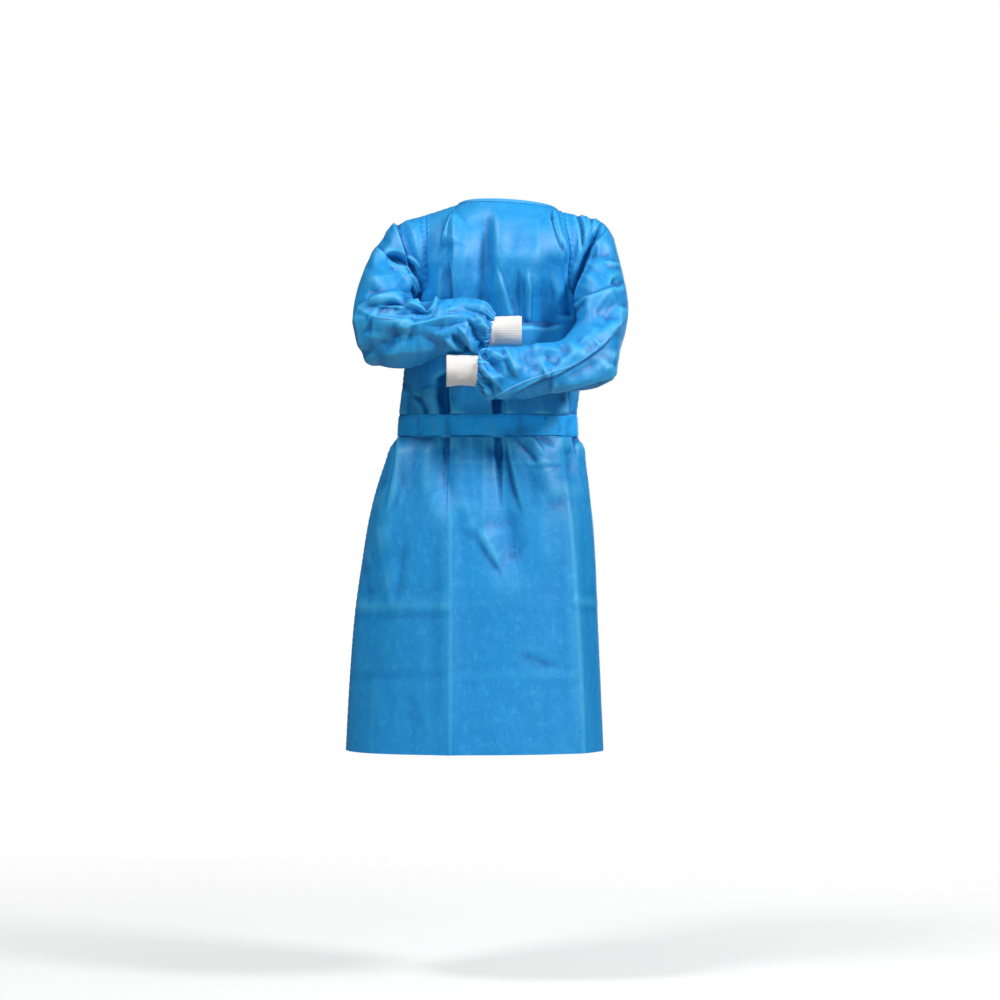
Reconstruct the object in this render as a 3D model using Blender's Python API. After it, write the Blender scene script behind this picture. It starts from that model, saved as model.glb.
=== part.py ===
"""Surgical gown of thin nonwoven cloth, in its worn form with the arms folded in front.

Row frame: metres, +Z up, the front of the gown faces -Y, +X is on the right as seen from the front.
The origin is the middle of the neck opening at shoulder height, where the gown is held up.
Every cloth piece is a thin wall whose outer face is worked out from sections of the body and arms.
"""
import bmesh
import bpy
import numpy as np

# Cloth and seams
WALL = 0.0015
SEAM_GAP = 0.0004
FLAP_LIFT = 0.0048
CUFF_WALL = 0.0018

# Heights on the body
HEM_HEIGHT = -1.117
ARMPIT_HEIGHT = -0.230
BELT_CENTRE = -0.452
BELT_WIDTH = 0.041
BELT_GAP = 0.0007
BELT_ROWS = (-0.475, -0.430)

# Grid of the panels: one column for each 7.5 degrees round the body, closer below the neck in front
COLUMN_STEP = 7.5
FRONT_STEP = 5.0
SIDE_ANGLE = 90.0
OVERLAP_ANGLE = 15.0
UPPER_ROWS = 16
SHOULDER_COLUMNS_RIGHT = 5
SHOULDER_COLUMNS_LEFT = 3
SQUARENESS = 2.3

# Grid of the sleeves: their columns meet the rows of the panels at the armhole
SLEEVE_COLUMNS = 2 * UPPER_ROWS
SLEEVE_ROWS = 22
GATHERS = 8
GATHER_DEPTH = 0.0030

# Angles by which the cloth has turned over at its top edge, 0 being upright
TURNED_SHOULDER = 84
TURNED_NECK = 46

# How quickly the pull of an armhole seam dies away across the panel
HOLD_AT_SHOULDER = 2.2
HOLD_AT_ARMPIT = 3.2

# Neck opening and its binding
NECK_RIGHT = np.array((-0.0951, 0.0, 0.0045))
NECK_LEFT = np.array((0.1080, 0.0, -0.0076))
NECK_FRONT = 0.0850
NECK_BACK = 0.0785
NECK_FRONT_RISE = 0.0048
NECK_BACK_RISE = 0.0
BINDING_HEIGHT = 0.009
BINDING_LEAF = 0.0008

# Knots and tails at the back: the knots' half sizes, the tails' widths, lengths and spread.
# A knot's middle is narrower by KNOT_WAIST, half as much again front to back and half as much
# from top to bottom.
KNOT_WAIST = 0.14
KNOT_THINNER = 1 - 1.5 * KNOT_WAIST
KNOT_LOWER = 1 - 0.5 * KNOT_WAIST
TAIL_GAP = 0.0030
BACK_CENTRE = -0.034
BELT_KNOT_HALF = np.array((0.023, 0.010, 0.018))
BELT_TAIL_WIDTH = 0.034
BELT_TAIL_LENGTH = 0.300
BELT_TAIL_SPREAD = 0.034
NECK_KNOT_CENTRE = np.array((0.0065, 0.0, -0.004))
NECK_KNOT_HALF = np.array((0.009, 0.005, 0.007))
NECK_TAIL_WIDTH = 0.010
NECK_TAIL_LENGTH = 0.160
NECK_TAIL_SPREAD = 0.022


def table(names, *rows):
    """A table as a dictionary with one array for each named column."""
    return dict(zip(names.split(), np.array(rows, dtype=float).T))


# Level sections of the body part, from the hem up to the armpits
BODY = table(
    "height centre half_width front back",
    (-1.117, -0.063, 0.264, 0.168, 0.158),
    (-0.970, -0.062, 0.257, 0.160, 0.152),
    (-0.826, -0.059, 0.248, 0.153, 0.146),
    (-0.727, -0.054, 0.239, 0.148, 0.141),
    (-0.643, -0.050, 0.229, 0.143, 0.136),
    (-0.585, -0.046, 0.219, 0.138, 0.131),
    (-0.527, -0.040, 0.206, 0.132, 0.125),
    (-0.492, -0.036, 0.197, 0.127, 0.119),
    (-0.472, -0.035, 0.183, 0.122, 0.114),
    (-0.432, -0.035, 0.182, 0.121, 0.113),
    (-0.377, -0.029, 0.182, 0.124, 0.114),
    (-0.310, -0.025, 0.179, 0.127, 0.116),
    (-0.230, -0.0165, 0.175, 0.127, 0.116),
)

# The armholes: where the seam crosses from side to side as it climbs from armpit to shoulder.
# turn is 0 at the armpit and 180 at the shoulder; front and back are the seam's X there.
ARMHOLE_RIGHT = table(
    "turn front back",
    (0, -0.1915, -0.1915),
    (25, -0.184, -0.188),
    (50, -0.161, -0.174),
    (90, -0.158, -0.165),
    (135, -0.161, -0.163),
    (180, -0.163, -0.163),
)
ARMHOLE_LEFT = table(
    "turn front back",
    (0, 0.1585, 0.1585),
    (25, 0.151, 0.156),
    (60, 0.128, 0.145),
    (100, 0.131, 0.137),
    (135, 0.124, 0.131),
    (180, 0.1185, 0.1185),
)
SHOULDER_RIGHT_HEIGHT = -0.018
SHOULDER_LEFT_HEIGHT = -0.012
ARMHOLE_FRONT = 0.078
ARMHOLE_BACK = 0.072
# How far the armhole comes to a point at the armpit, where 0 is a plain oval
ARMPIT_POINT = 0.20

# Sections along each sleeve after the armhole: the centre, and the reach from it along each axis
SLEEVE_RIGHT = table(
    "x y z reach_x reach_y reach_z",
    (-0.215, -0.010, -0.134, 0.064, 0.083, 0.099),
    (-0.244, -0.100, -0.205, 0.060, 0.068, 0.082),
    (-0.238, -0.160, -0.259, 0.058, 0.062, 0.083),
    (-0.197, -0.196, -0.272, 0.058, 0.056, 0.068),
    (-0.140, -0.205, -0.262, 0.055, 0.054, 0.058),
    (-0.085, -0.205, -0.258, 0.050, 0.050, 0.053),
    (-0.048, -0.205, -0.260, 0.045, 0.045, 0.047),
    (-0.026, -0.205, -0.265, 0.034, 0.034, 0.034),
)
SLEEVE_LEFT = table(
    "x y z reach_x reach_y reach_z",
    (0.176, -0.010, -0.127, 0.060, 0.083, 0.104),
    (0.198, -0.092, -0.206, 0.052, 0.068, 0.088),
    (0.189, -0.146, -0.272, 0.047, 0.062, 0.084),
    (0.164, -0.192, -0.321, 0.056, 0.058, 0.068),
    (0.120, -0.217, -0.337, 0.050, 0.052, 0.053),
    (0.070, -0.224, -0.342, 0.048, 0.048, 0.049),
    (0.015, -0.227, -0.346, 0.046, 0.046, 0.047),
    (-0.030, -0.228, -0.349, 0.045, 0.045, 0.048),
    (-0.058, -0.230, -0.346, 0.036, 0.036, 0.037),
)
# How strongly the first section keeps facing straight out of the armhole
FIRST_SECTION_HOLD = 3.0

CUFF_LENGTH = 0.065
CUFF_TUCK = 0.006
CUFF_RIGHT_RADIUS = 0.0294
CUFF_LEFT_RADIUS = 0.0315

# Largest folds of the front, placed as seen from the front; depth is out of the cloth
FRONT_FOLDS = table(
    "x_top z_top x_low z_low width depth",
    (-0.043, -0.010, -0.040, -0.330, 0.022, -0.0150),
    (-0.014, -0.010, -0.012, -0.300, 0.018, 0.0080),
    (-0.085, -0.040, -0.108, -0.340, 0.026, 0.0100),
    (0.055, -0.060, 0.025, -0.330, 0.030, 0.0110),
    (0.102, -0.080, 0.075, -0.360, 0.022, -0.0100),
    (-0.121, -0.290, -0.118, -0.660, 0.019, -0.0160),
    (-0.150, -0.300, -0.165, -0.640, 0.018, 0.0080),
    (-0.018, -0.310, -0.019, -0.560, 0.018, -0.0150),
    (-0.010, -0.440, 0.014, -0.800, 0.036, -0.0160),
    (0.052, -0.470, 0.110, -0.620, 0.022, 0.0080),
    (0.122, -0.320, 0.142, -0.600, 0.018, -0.0150),
    (-0.205, -0.440, -0.255, -0.740, 0.022, 0.0110),
    (-0.113, -0.540, -0.113, -1.180, 0.020, 0.0065),
    (0.120, -0.500, 0.152, -1.180, 0.020, 0.0075),
)
BACK_FOLDS = table(
    "x_top z_top x_low z_low width depth",
    (-0.100, -0.040, -0.085, -0.420, 0.026, -0.0110),
    (0.078, -0.050, 0.068, -0.420, 0.028, 0.0100),
    (-0.120, -0.380, -0.155, -0.950, 0.026, -0.0150),
    (-0.080, -0.400, -0.100, -1.170, 0.028, 0.0130),
    (0.055, -0.400, 0.080, -1.170, 0.030, 0.0130),
    (0.100, -0.380, 0.140, -0.900, 0.024, -0.0150),
)

# Largest folds of the sleeves, placed as seen from the front
SLEEVE_RIGHT_FOLDS = table(
    "x_top z_top x_low z_low width depth",
    (-0.215, -0.030, -0.160, -0.185, 0.013, -0.0120),
    (-0.262, -0.095, -0.175, -0.165, 0.020, -0.0180),
    (-0.300, -0.150, -0.190, -0.200, 0.022, 0.0090),
    (-0.285, -0.214, -0.130, -0.212, 0.012, 0.0090),
    (-0.280, -0.236, -0.150, -0.240, 0.010, -0.0080),
    (-0.185, -0.290, -0.070, -0.245, 0.018, 0.0050),
)
SLEEVE_LEFT_FOLDS = table(
    "x_top z_top x_low z_low width depth",
    (0.160, -0.030, 0.130, -0.215, 0.010, -0.0090),
    (0.196, -0.045, 0.128, -0.235, 0.010, -0.0110),
    (0.180, -0.020, 0.140, -0.180, 0.014, 0.0060),
    (0.235, -0.130, 0.150, -0.250, 0.020, 0.0060),
    (0.232, -0.240, 0.060, -0.372, 0.012, 0.0050),
    (0.150, -0.300, 0.020, -0.325, 0.016, -0.0060),
)

CLOTH = (0.06, 0.33, 0.76)
CLOTH_DEEP = (0.04, 0.27, 0.68)
CLOTH_PALE = (0.16, 0.45, 0.82)
KNIT = (0.88, 0.88, 0.86)


def smooth(keys, values, at):
    """Cubic curve through values at rising keys, read at any places; slopes come from the neighbours."""
    slopes = np.gradient(values, keys, axis=0)
    span = np.clip(np.searchsorted(keys, at, side="right") - 1, 0, len(keys) - 2)
    width = keys[span + 1] - keys[span]
    shape = (-1,) + (1,) * (values.ndim - 1)
    f = ((at - keys[span]) / width).reshape(shape)
    width = width.reshape(shape)
    start = values[span] * (1 + 2 * f) * (1 - f) ** 2 + slopes[span] * width * f * (1 - f) ** 2
    end = values[span + 1] * f ** 2 * (3 - 2 * f) - slopes[span + 1] * width * f ** 2 * (1 - f)
    return start + end


def ease(value):
    """Rises softly from 0 to 1 as value goes from 0 to 1."""
    value = np.clip(value, 0.0, 1.0)
    return value * value * (3 - 2 * value)


def unit(vectors):
    """Vectors brought to a length of 1."""
    return vectors / np.maximum(np.linalg.norm(vectors, axis=-1, keepdims=True), 1e-12)


def normals(grid, closed, middle):
    """Directions square to a grid of points, turned away from the middle."""
    along = np.gradient(grid, axis=0)
    if closed:
        across = np.roll(grid, -1, axis=1) - np.roll(grid, 1, axis=1)
    else:
        across = np.gradient(grid, axis=1)
    found = unit(np.cross(along, across))
    outward = np.sum(found * (grid - middle))
    return found if outward > 0 else -found


def fold_heights(folds, x, z):
    """Sum of the folds at places seen from the front: a bell across each line, fading at its ends."""
    total = np.zeros_like(x)
    for row in range(len(folds["depth"])):
        start = np.array((folds["x_top"][row], folds["z_top"][row]))
        run = np.array((folds["x_low"][row], folds["z_low"][row])) - start
        length = np.hypot(*run)
        along = ((x - start[0]) * run[0] + (z - start[1]) * run[1]) / length ** 2
        across = ((x - start[0]) * run[1] - (z - start[1]) * run[0]) / length
        ends = np.sqrt(np.clip(4 * along * (1 - along), 0.0, 1.0))
        total += folds["depth"][row] * ends * np.exp(-(across / folds["width"][row]) ** 2)
    return total


def ring_points(heights, angles):
    """Body sections: a squared oval at each height, angle 0 at the front and rising towards +X."""
    turn = np.radians(angles)[None, :]
    centre, half_width, front, back = (
        smooth(BODY["height"], BODY[name], heights)[:, None]
        for name in ("centre", "half_width", "front", "back"))
    depth = np.where(np.cos(turn) > 0, front, back)
    across = (np.abs(np.sin(turn)) / half_width) ** SQUARENESS
    ahead = (np.abs(np.cos(turn)) / depth) ** SQUARENESS
    reach = (across + ahead) ** (-1 / SQUARENESS)
    level = heights[:, None] + 0 * reach
    return np.stack((centre + reach * np.sin(turn), -reach * np.cos(turn), level), axis=-1)


def armhole(side, turns):
    """Armhole seam: an upright oval that comes to a soft point at the armpit, its X read from the
    side's table, front first and then back."""
    is_right = side == "right"
    rows = ARMHOLE_RIGHT if is_right else ARMHOLE_LEFT
    top = SHOULDER_RIGHT_HEIGHT if is_right else SHOULDER_LEFT_HEIGHT
    wrapped = np.where(turns > 180, 360 - turns, turns)
    is_front = turns <= 180
    x = np.where(is_front, smooth(rows["turn"], rows["front"], wrapped),
                 smooth(rows["turn"], rows["back"], wrapped))
    swing = np.sin(np.radians(wrapped))
    y = np.where(is_front, -ARMHOLE_FRONT, ARMHOLE_BACK) * swing
    half_height = (top - ARMPIT_HEIGHT) / 2
    point = ARMPIT_POINT * swing * np.cos(np.radians(wrapped / 2)) ** 2
    z = ARMPIT_HEIGHT + half_height * (1 - np.cos(np.radians(wrapped)) + point)
    return np.stack((x, y, z), axis=-1)


def neck_points(turns):
    """Neck opening: an oval through both shoulder ends, -90 at the right one and 90 at the left."""
    turn = np.radians(turns)
    middle = (NECK_RIGHT + NECK_LEFT) / 2
    half = (NECK_LEFT - NECK_RIGHT) / 2
    ahead = np.cos(turn)
    depth = np.where(ahead > 0, NECK_FRONT, NECK_BACK)
    rise = np.where(ahead > 0, NECK_FRONT_RISE, NECK_BACK_RISE)
    x = middle[0] + half[0] * np.sin(turn)
    z = middle[2] + half[2] * np.sin(turn) + rise * np.abs(ahead)
    return np.stack((x, -depth * ahead, z), axis=-1)


def line(start, end, count):
    """Evenly spaced points from start to end."""
    return start + (end - start) * np.linspace(0, 1, count)[:, None]


def shoulder_point(side):
    """Top of the armhole, where the shoulder seam ends."""
    return armhole(side, np.array([180.0]))[0]


def upper_patch(bottom, top, turned, places, edges):
    """Cloth from the armpit ring up to the top line: each column climbs an arc that turns over by
    its own angle, and the columns near an armhole are drawn onto its seam."""
    share = np.linspace(0, 1, UPPER_ROWS + 1)[:, None]
    angle = np.radians(turned)[None, :]
    rise = np.sin(share * angle) / np.sin(angle)
    lean = (1 - np.cos(share * angle)) / (1 - np.cos(angle))
    weight = np.stack((lean, lean, rise), axis=-1)
    patch = bottom + (top - bottom) * weight
    across = np.abs(places - places[0]) / np.abs(places[-1] - places[0])
    hold = HOLD_AT_SHOULDER + (HOLD_AT_ARMPIT - HOLD_AT_SHOULDER) * (1 - share) ** 2
    drawn = patch.copy()
    for column, near, curve in zip((0, -1), (1 - across, across), edges):
        fade = near[None, :] ** hold
        drawn += fade[..., None] * (curve - patch[:, column])[:, None, :]
    return drawn


def panel_heights():
    """Heights of the rows below the armpits, closer together round the belt."""
    return np.concatenate((
        np.linspace(HEM_HEIGHT, -0.60, 7, endpoint=False),
        (-0.60, -0.545, -0.500, BELT_ROWS[0], BELT_ROWS[1], -0.395, -0.340, -0.285,
         ARMPIT_HEIGHT)))


def body_grid(is_front):
    """Outer face of the front or back half: rows from the hem up, columns from the right side seam
    to the left one."""
    turns = np.arange(0, 2 * SIDE_ANGLE + 1, COLUMN_STEP)
    if is_front:
        right_end = SHOULDER_COLUMNS_RIGHT * COLUMN_STEP
        left_end = 2 * SIDE_ANGLE - SHOULDER_COLUMNS_LEFT * COLUMN_STEP
        shoulders = turns[(turns < right_end) | (turns >= left_end)]
        turns = np.sort(np.append(shoulders, np.arange(right_end, left_end - 1, FRONT_STEP)))
    angles = turns - SIDE_ANGLE if is_front else -SIDE_ANGLE - turns
    lower = ring_points(panel_heights(), angles)
    first, last = SHOULDER_COLUMNS_RIGHT, len(turns) - 1 - SHOULDER_COLUMNS_LEFT
    neck_turns = np.linspace(-90, 90 if is_front else -270, last - first + 1)
    top = np.concatenate((
        line(shoulder_point("right"), NECK_RIGHT, first + 1)[:-1],
        neck_points(neck_turns),
        line(NECK_LEFT, shoulder_point("left"), SHOULDER_COLUMNS_LEFT + 1)[1:]))
    from_neck = np.abs(np.arange(len(turns)) - (first + last) / 2) / ((last - first) / 2 + 1)
    turned = TURNED_SHOULDER + (TURNED_NECK - TURNED_SHOULDER) * ease(1 - from_neck)
    seam_turns = np.linspace(0 if is_front else 360, 180, UPPER_ROWS + 1)
    seams = [armhole(side, seam_turns) for side in ("right", "left")]
    upper = upper_patch(lower[-1], top, turned, angles, seams)
    folds = FRONT_FOLDS if is_front else BACK_FOLDS
    return with_folds(np.concatenate((lower, upper[1:])), angles, folds)


def back_grids():
    """Outer faces of the two back panels, columns from the side seam to the free edge. They share
    the body's form where they overlap, and the left one is lifted off it there. The lifted form
    of the whole back comes last."""
    whole = body_grid(False)
    columns = int((SIDE_ANGLE + OVERLAP_ANGLE) / COLUMN_STEP) + 1
    reach = SIDE_ANGLE + COLUMN_STEP * np.arange(whole.shape[1])[::-1]
    above_armpit = np.clip((np.arange(whole.shape[0]) - whole.shape[0] + 1) / UPPER_ROWS + 1, 0, 1)
    lift = flap_lift(reach[None, :] - COLUMN_STEP * SHOULDER_COLUMNS_LEFT * above_armpit[:, None])
    over = whole + normals(whole, False, BODY_MIDDLE) * lift[..., None]
    return whole[:, :columns], over[:, ::-1][:, :columns], over


def flap_lift(reach):
    """How far the over flap stands off the body, from nothing at the side seam."""
    return FLAP_LIFT * ease((reach - SIDE_ANGLE) / 45)


def with_folds(grid, angles, folds):
    """A panel's grid pushed out and in by its folds, which fade at side seams, belt and top line."""
    facing = np.clip(3 * np.abs(np.cos(np.radians(angles))), 0, 1)[None, :]
    rows = np.arange(grid.shape[0])[:, None]
    below_top = np.clip((grid.shape[0] - 1 - rows) / 4, 0, 1)
    from_belt = (np.abs(grid[..., 2] - BELT_CENTRE) - BELT_WIDTH / 2 - 0.003) / 0.035
    amount = fold_heights(folds, grid[..., 0], grid[..., 2]) * facing * below_top * ease(from_belt)
    return grid + normals(grid, False, BODY_MIDDLE) * amount[..., None]


BODY_MIDDLE = np.array((-0.03, 0.0, -0.5))


def sleeve_keys(side):
    """Key rings of a sleeve: the armhole seam, then an oval round each section's centre. The rings
    stay square to the arm, and their start point is carried along it without twisting."""
    rows = SLEEVE_RIGHT if side == "right" else SLEEVE_LEFT
    turns = np.linspace(0, 360, SLEEVE_COLUMNS, endpoint=False)
    seam = armhole(side, turns)
    centres = np.stack((rows["x"], rows["y"], rows["z"]), axis=-1)
    reaches = np.stack((rows["reach_x"], rows["reach_y"], rows["reach_z"]), axis=-1)
    path = np.concatenate((seam.mean(axis=0)[None], centres))
    directions = unit(np.gradient(path, axis=0))
    directions[0] = (-1.0 if side == "right" else 1.0, 0.0, 0.0)
    directions[1] = unit(FIRST_SECTION_HOLD * directions[0] + directions[1])
    up = np.array((0.0, 0.0, 1.0))
    ahead = np.array((0.0, -1.0, 0.0))
    swing = np.radians(turns)[:, None]
    rings = [seam]
    for step in range(1, len(path)):
        direction = directions[step]
        up = unit(up - direction * np.dot(up, direction))
        ahead = unit(ahead - direction * np.dot(ahead, direction) - up * np.dot(ahead, up))
        circle = -np.cos(swing) * up + np.sin(swing) * ahead
        rings.append(centres[step - 1] + circle * reaches[step - 1])
    lengths = np.linalg.norm(np.diff(path, axis=0), axis=1)
    return np.array(rings), path, np.concatenate(([0.0], np.cumsum(lengths)))


def sleeve_grid(side):
    """Outer face of a sleeve, rows from the armhole to the wrist, with its folds and gathers."""
    rings, path, places = sleeve_keys(side)
    share = np.linspace(0, 1, SLEEVE_ROWS + 1)
    at = places[-1] * (share - 0.04 * np.sin(2 * np.pi * share))
    grid = smooth(places, rings, at)
    middle = smooth(places, path, at)[:, None, :]
    out = normals(grid, True, middle)
    facing = np.clip(-1.6 * out[..., 1], 0, 1) * ease(3 * share)[:, None]
    folds = SLEEVE_RIGHT_FOLDS if side == "right" else SLEEVE_LEFT_FOLDS
    away_from_wrist = ease((places[-1] - at) / 0.06)[:, None]
    amount = fold_heights(folds, grid[..., 0], grid[..., 2]) * facing * away_from_wrist
    waves = np.cos(GATHERS * np.radians(np.linspace(0, 360, SLEEVE_COLUMNS, endpoint=False)))
    near_wrist = ease(1 - (places[-1] - at) / 0.085)[:, None]
    amount = amount + GATHER_DEPTH * waves[None, :] * near_wrist
    return grid + out * amount[..., None]


def cuff_grid(side):
    """Outer face of a cuff: a round tube that starts just inside the sleeve's end."""
    path = sleeve_keys(side)[1]
    radius = CUFF_RIGHT_RADIUS if side == "right" else CUFF_LEFT_RADIUS
    direction = unit(path[-1] - path[-2])
    direction = unit(direction * (1.0, 0.3, 0.0))
    end = path[-1]
    along = np.array((-CUFF_TUCK, 0.004, 0.020, 0.042, CUFF_LENGTH - CUFF_TUCK))
    swell = np.array((1.0, 0.98, 0.95, 0.97, 1.02))
    turn = np.linspace(0, 2 * np.pi, 24, endpoint=False)
    level = unit(np.cross(direction, (0.0, 0.0, 1.0)))
    circle = np.cos(turn)[:, None] * level + np.sin(turn)[:, None] * np.array((0.0, 0.0, 1.0))
    centres = end + along[:, None] * direction
    return centres[:, None, :] + radius * swell[:, None, None] * circle[None, :, :]


def make_piece(name, outer, inner, closed, colour):
    """Object of a wall between two grids of points: both faces, and rims along every open edge."""
    rows, columns = outer.shape[:2]
    index = np.arange(rows * columns).reshape(rows, columns)
    if closed:
        index = np.hstack((index, index[:, :1]))
    behind = index + rows * columns
    edges = [(index[0], behind[0]), (index[-1], behind[-1])]
    if not closed:
        edges += [(index[:, 0], behind[:, 0]), (index[:, -1], behind[:, -1])]
    points = np.concatenate((outer.reshape(-1, 3), inner.reshape(-1, 3)))
    faces = []
    for g in (index, behind):
        faces += np.stack((g[:-1, :-1], g[:-1, 1:], g[1:, 1:], g[1:, :-1]), axis=-1).reshape(-1, 4).tolist()
    for a, b in edges:
        faces += rim_faces(points, a, b).tolist()
    return add_object(name, points, faces, colour)


def rim_faces(points, outer, inner):
    """Triangles along a rim. Each four-sided step is cut along its shorter diagonal, so that two
    rims that face each other across a seam are cut alike."""
    rising = np.linalg.norm(points[outer[:-1]] - points[inner[1:]], axis=-1)
    falling = np.linalg.norm(points[outer[1:]] - points[inner[:-1]], axis=-1)
    is_rising = (rising < falling)[:, None]
    first = np.where(is_rising, np.stack((outer[:-1], outer[1:], inner[1:]), axis=-1),
                     np.stack((outer[:-1], outer[1:], inner[:-1]), axis=-1))
    second = np.where(is_rising, np.stack((outer[:-1], inner[1:], inner[:-1]), axis=-1),
                      np.stack((outer[1:], inner[1:], inner[:-1]), axis=-1))
    return np.concatenate((first, second))


def add_object(name, points, faces, colour):
    """Object of its own mesh, faces turned outwards, with a material of the given colour."""
    mesh = bpy.data.meshes.new(name)
    mesh.from_pydata(points.tolist(), [], [list(map(int, face)) for face in faces])
    work = bmesh.new()
    work.from_mesh(mesh)
    bmesh.ops.recalc_face_normals(work, faces=work.faces)
    work.to_mesh(mesh)
    work.free()
    mesh.shade_smooth()
    mesh.set_sharp_from_angle(angle=np.radians(50))
    piece = bpy.data.objects.new(name, mesh)
    material = bpy.data.materials.new(name)
    material.use_nodes = True
    shader = material.node_tree.nodes["Principled BSDF"]
    shader.inputs["Base Color"].default_value = (*colour, 1.0)
    shader.inputs["Roughness"].default_value = 0.62
    shader.inputs["Metallic"].default_value = 0.0
    mesh.materials.append(material)
    bpy.context.scene.collection.objects.link(piece)
    return piece


def shared_normals(pieces):
    """Normal of every grid point, the mean over all the pieces that share the point at a seam."""
    points = np.concatenate([grid.reshape(-1, 3) for grid, _ in pieces])
    found = np.concatenate([out.reshape(-1, 3) for _, out in pieces])
    _, group = np.unique(np.round(points, 6), axis=0, return_inverse=True)
    group = group.reshape(-1)
    total = np.zeros((group.max() + 1, 3))
    np.add.at(total, group, found)
    mean = (total / np.bincount(group)[:, None])[group]
    shapes = [grid.shape for grid, _ in pieces]
    stops = np.cumsum([shape[0] * shape[1] for shape in shapes])[:-1]
    return [part.reshape(shape) for part, shape in zip(np.split(mean, stops), shapes)]


def set_back(grid, edge):
    """Moves one edge of a grid half a seam gap into its own piece, square to the seam."""
    edge_at, next_at = edge
    toward = grid[next_at] - grid[edge_at]
    seam = unit(np.gradient(grid[edge_at], axis=0))
    toward = toward - seam * np.sum(toward * seam, axis=-1, keepdims=True)
    moved = np.zeros_like(grid)
    moved[edge_at] = unit(toward) * SEAM_GAP / 2
    return moved


def inner_face(grid, mean, wall):
    """The wall's inner face: in along the mean normal, longer where two pieces meet at an angle."""
    length = np.maximum(np.linalg.norm(mean, axis=-1, keepdims=True), 0.6)
    return grid - mean / length ** 2 * wall


def make_cloth():
    """The body panels and sleeves, which meet point to point at their seams."""
    every = slice(None)
    right, left = (every, 0), (every, -1)
    front = body_grid(True)
    back_right, back_left, over = back_grids()
    sleeve_right = sleeve_grid("right")
    sleeve_left = sleeve_grid("left")
    pieces = [(grid, normals(grid, closed, middle)) for grid, closed, middle in (
        (front, False, BODY_MIDDLE), (back_right, False, BODY_MIDDLE),
        (back_left, False, BODY_MIDDLE),
        (sleeve_right, True, sleeve_right.mean(axis=1, keepdims=True)),
        (sleeve_left, True, sleeve_left.mean(axis=1, keepdims=True)))]
    means = shared_normals(pieces)
    first, last = SHOULDER_COLUMNS_RIGHT, -1 - SHOULDER_COLUMNS_LEFT
    column_edges = {
        "front_panel": ((right, (every, 1)), (left, (every, -2))),
        "back_panel_right": ((right, (every, 1)),),
        "back_panel_left": ((right, (every, 1)),),
    }
    shoulder_spans = {
        "front_panel": (slice(0, first + 1), slice(last, None)),
        "back_panel_right": (slice(0, first + 1),),
        "back_panel_left": (slice(0, SHOULDER_COLUMNS_LEFT + 1),),
    }
    names = ("front_panel", "back_panel_right", "back_panel_left", "sleeve_right", "sleeve_left")
    outers = {}
    for name, (grid, _), mean in zip(names, pieces, means):
        moved = grid.copy()
        is_sleeve = name.startswith("sleeve")
        if is_sleeve:
            moved += set_back(grid, ((0, every), (1, every)))
        for edge in column_edges.get(name, ()):
            moved += set_back(grid, edge)
        for span in shoulder_spans.get(name, ()):
            moved += set_back(grid, ((-1, span), (-2, span)))
        inner = inner_face(moved, mean, WALL)
        make_piece(name, moved, inner, is_sleeve, CLOTH)
        outers[name] = (moved, inner)
    return outers, over


def make_cuffs():
    """The two knitted cuffs."""
    for side in ("right", "left"):
        outer = cuff_grid(side)
        centre = outer.mean(axis=1, keepdims=True)
        inner = outer - unit(outer - centre) * CUFF_WALL
        make_piece("cuff_" + side, outer, inner, True, KNIT)


def make_binding(outers):
    """The neck binding: a folded tape that carries on past the top edge of the panels, from the end
    of the under flap round the front to the end of the over flap."""
    first, last = SHOULDER_COLUMNS_RIGHT, -1 - SHOULDER_COLUMNS_LEFT
    runs = []
    for name, columns in (
            ("back_panel_right", slice(None, first, -1)),
            ("front_panel", slice(first, last + 1)),
            ("back_panel_left", slice(SHOULDER_COLUMNS_LEFT + 1, None))):
        outer, inner = outers[name]
        runs.append((outer[-1, columns], inner[-1, columns], outer[-2, columns]))
    edge, behind, below = (np.concatenate([run[part] for run in runs]) for part in range(3))
    out = unit(edge - behind)
    up = unit(np.cross(np.gradient(edge, axis=0), out))
    up *= np.sign(np.sum(up * (edge - below), axis=-1, keepdims=True))
    rows = [edge + up * rise for rise in (SEAM_GAP, SEAM_GAP + BINDING_HEIGHT)]
    outer = np.array([row + out * BINDING_LEAF for row in rows])
    inner = np.array([row - out * (BINDING_LEAF + WALL) for row in rows])
    make_piece("neck_binding", outer, inner, False, CLOTH_PALE)


def belt_lift(angles):
    """How far the belt stands off the body to pass over the flap, angles from 0 to 360."""
    rising = ease((angles - SIDE_ANGLE) / 45)
    falling = 1 - ease((angles - 180 - OVERLAP_ANGLE) / 30)
    return FLAP_LIFT * rising * falling


def make_belt():
    """The belt: a band round the waist, a knot at the back and two tails that hang from it."""
    angles = np.arange(0, 360, COLUMN_STEP)
    ring = ring_points(np.array(BELT_ROWS), angles)
    edges = BELT_CENTRE + BELT_WIDTH * np.array((-0.5, 0.5))
    share = ((edges - BELT_ROWS[0]) / (BELT_ROWS[1] - BELT_ROWS[0]))[:, None, None]
    band = ring[0] + (ring[1] - ring[0]) * share
    out = normals(band, True, BODY_MIDDLE)
    lift = BELT_GAP + belt_lift(angles)[None, :, None]
    make_piece("belt_band", band + out * (lift + WALL), band + out * lift, True, CLOTH_DEEP)


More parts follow.
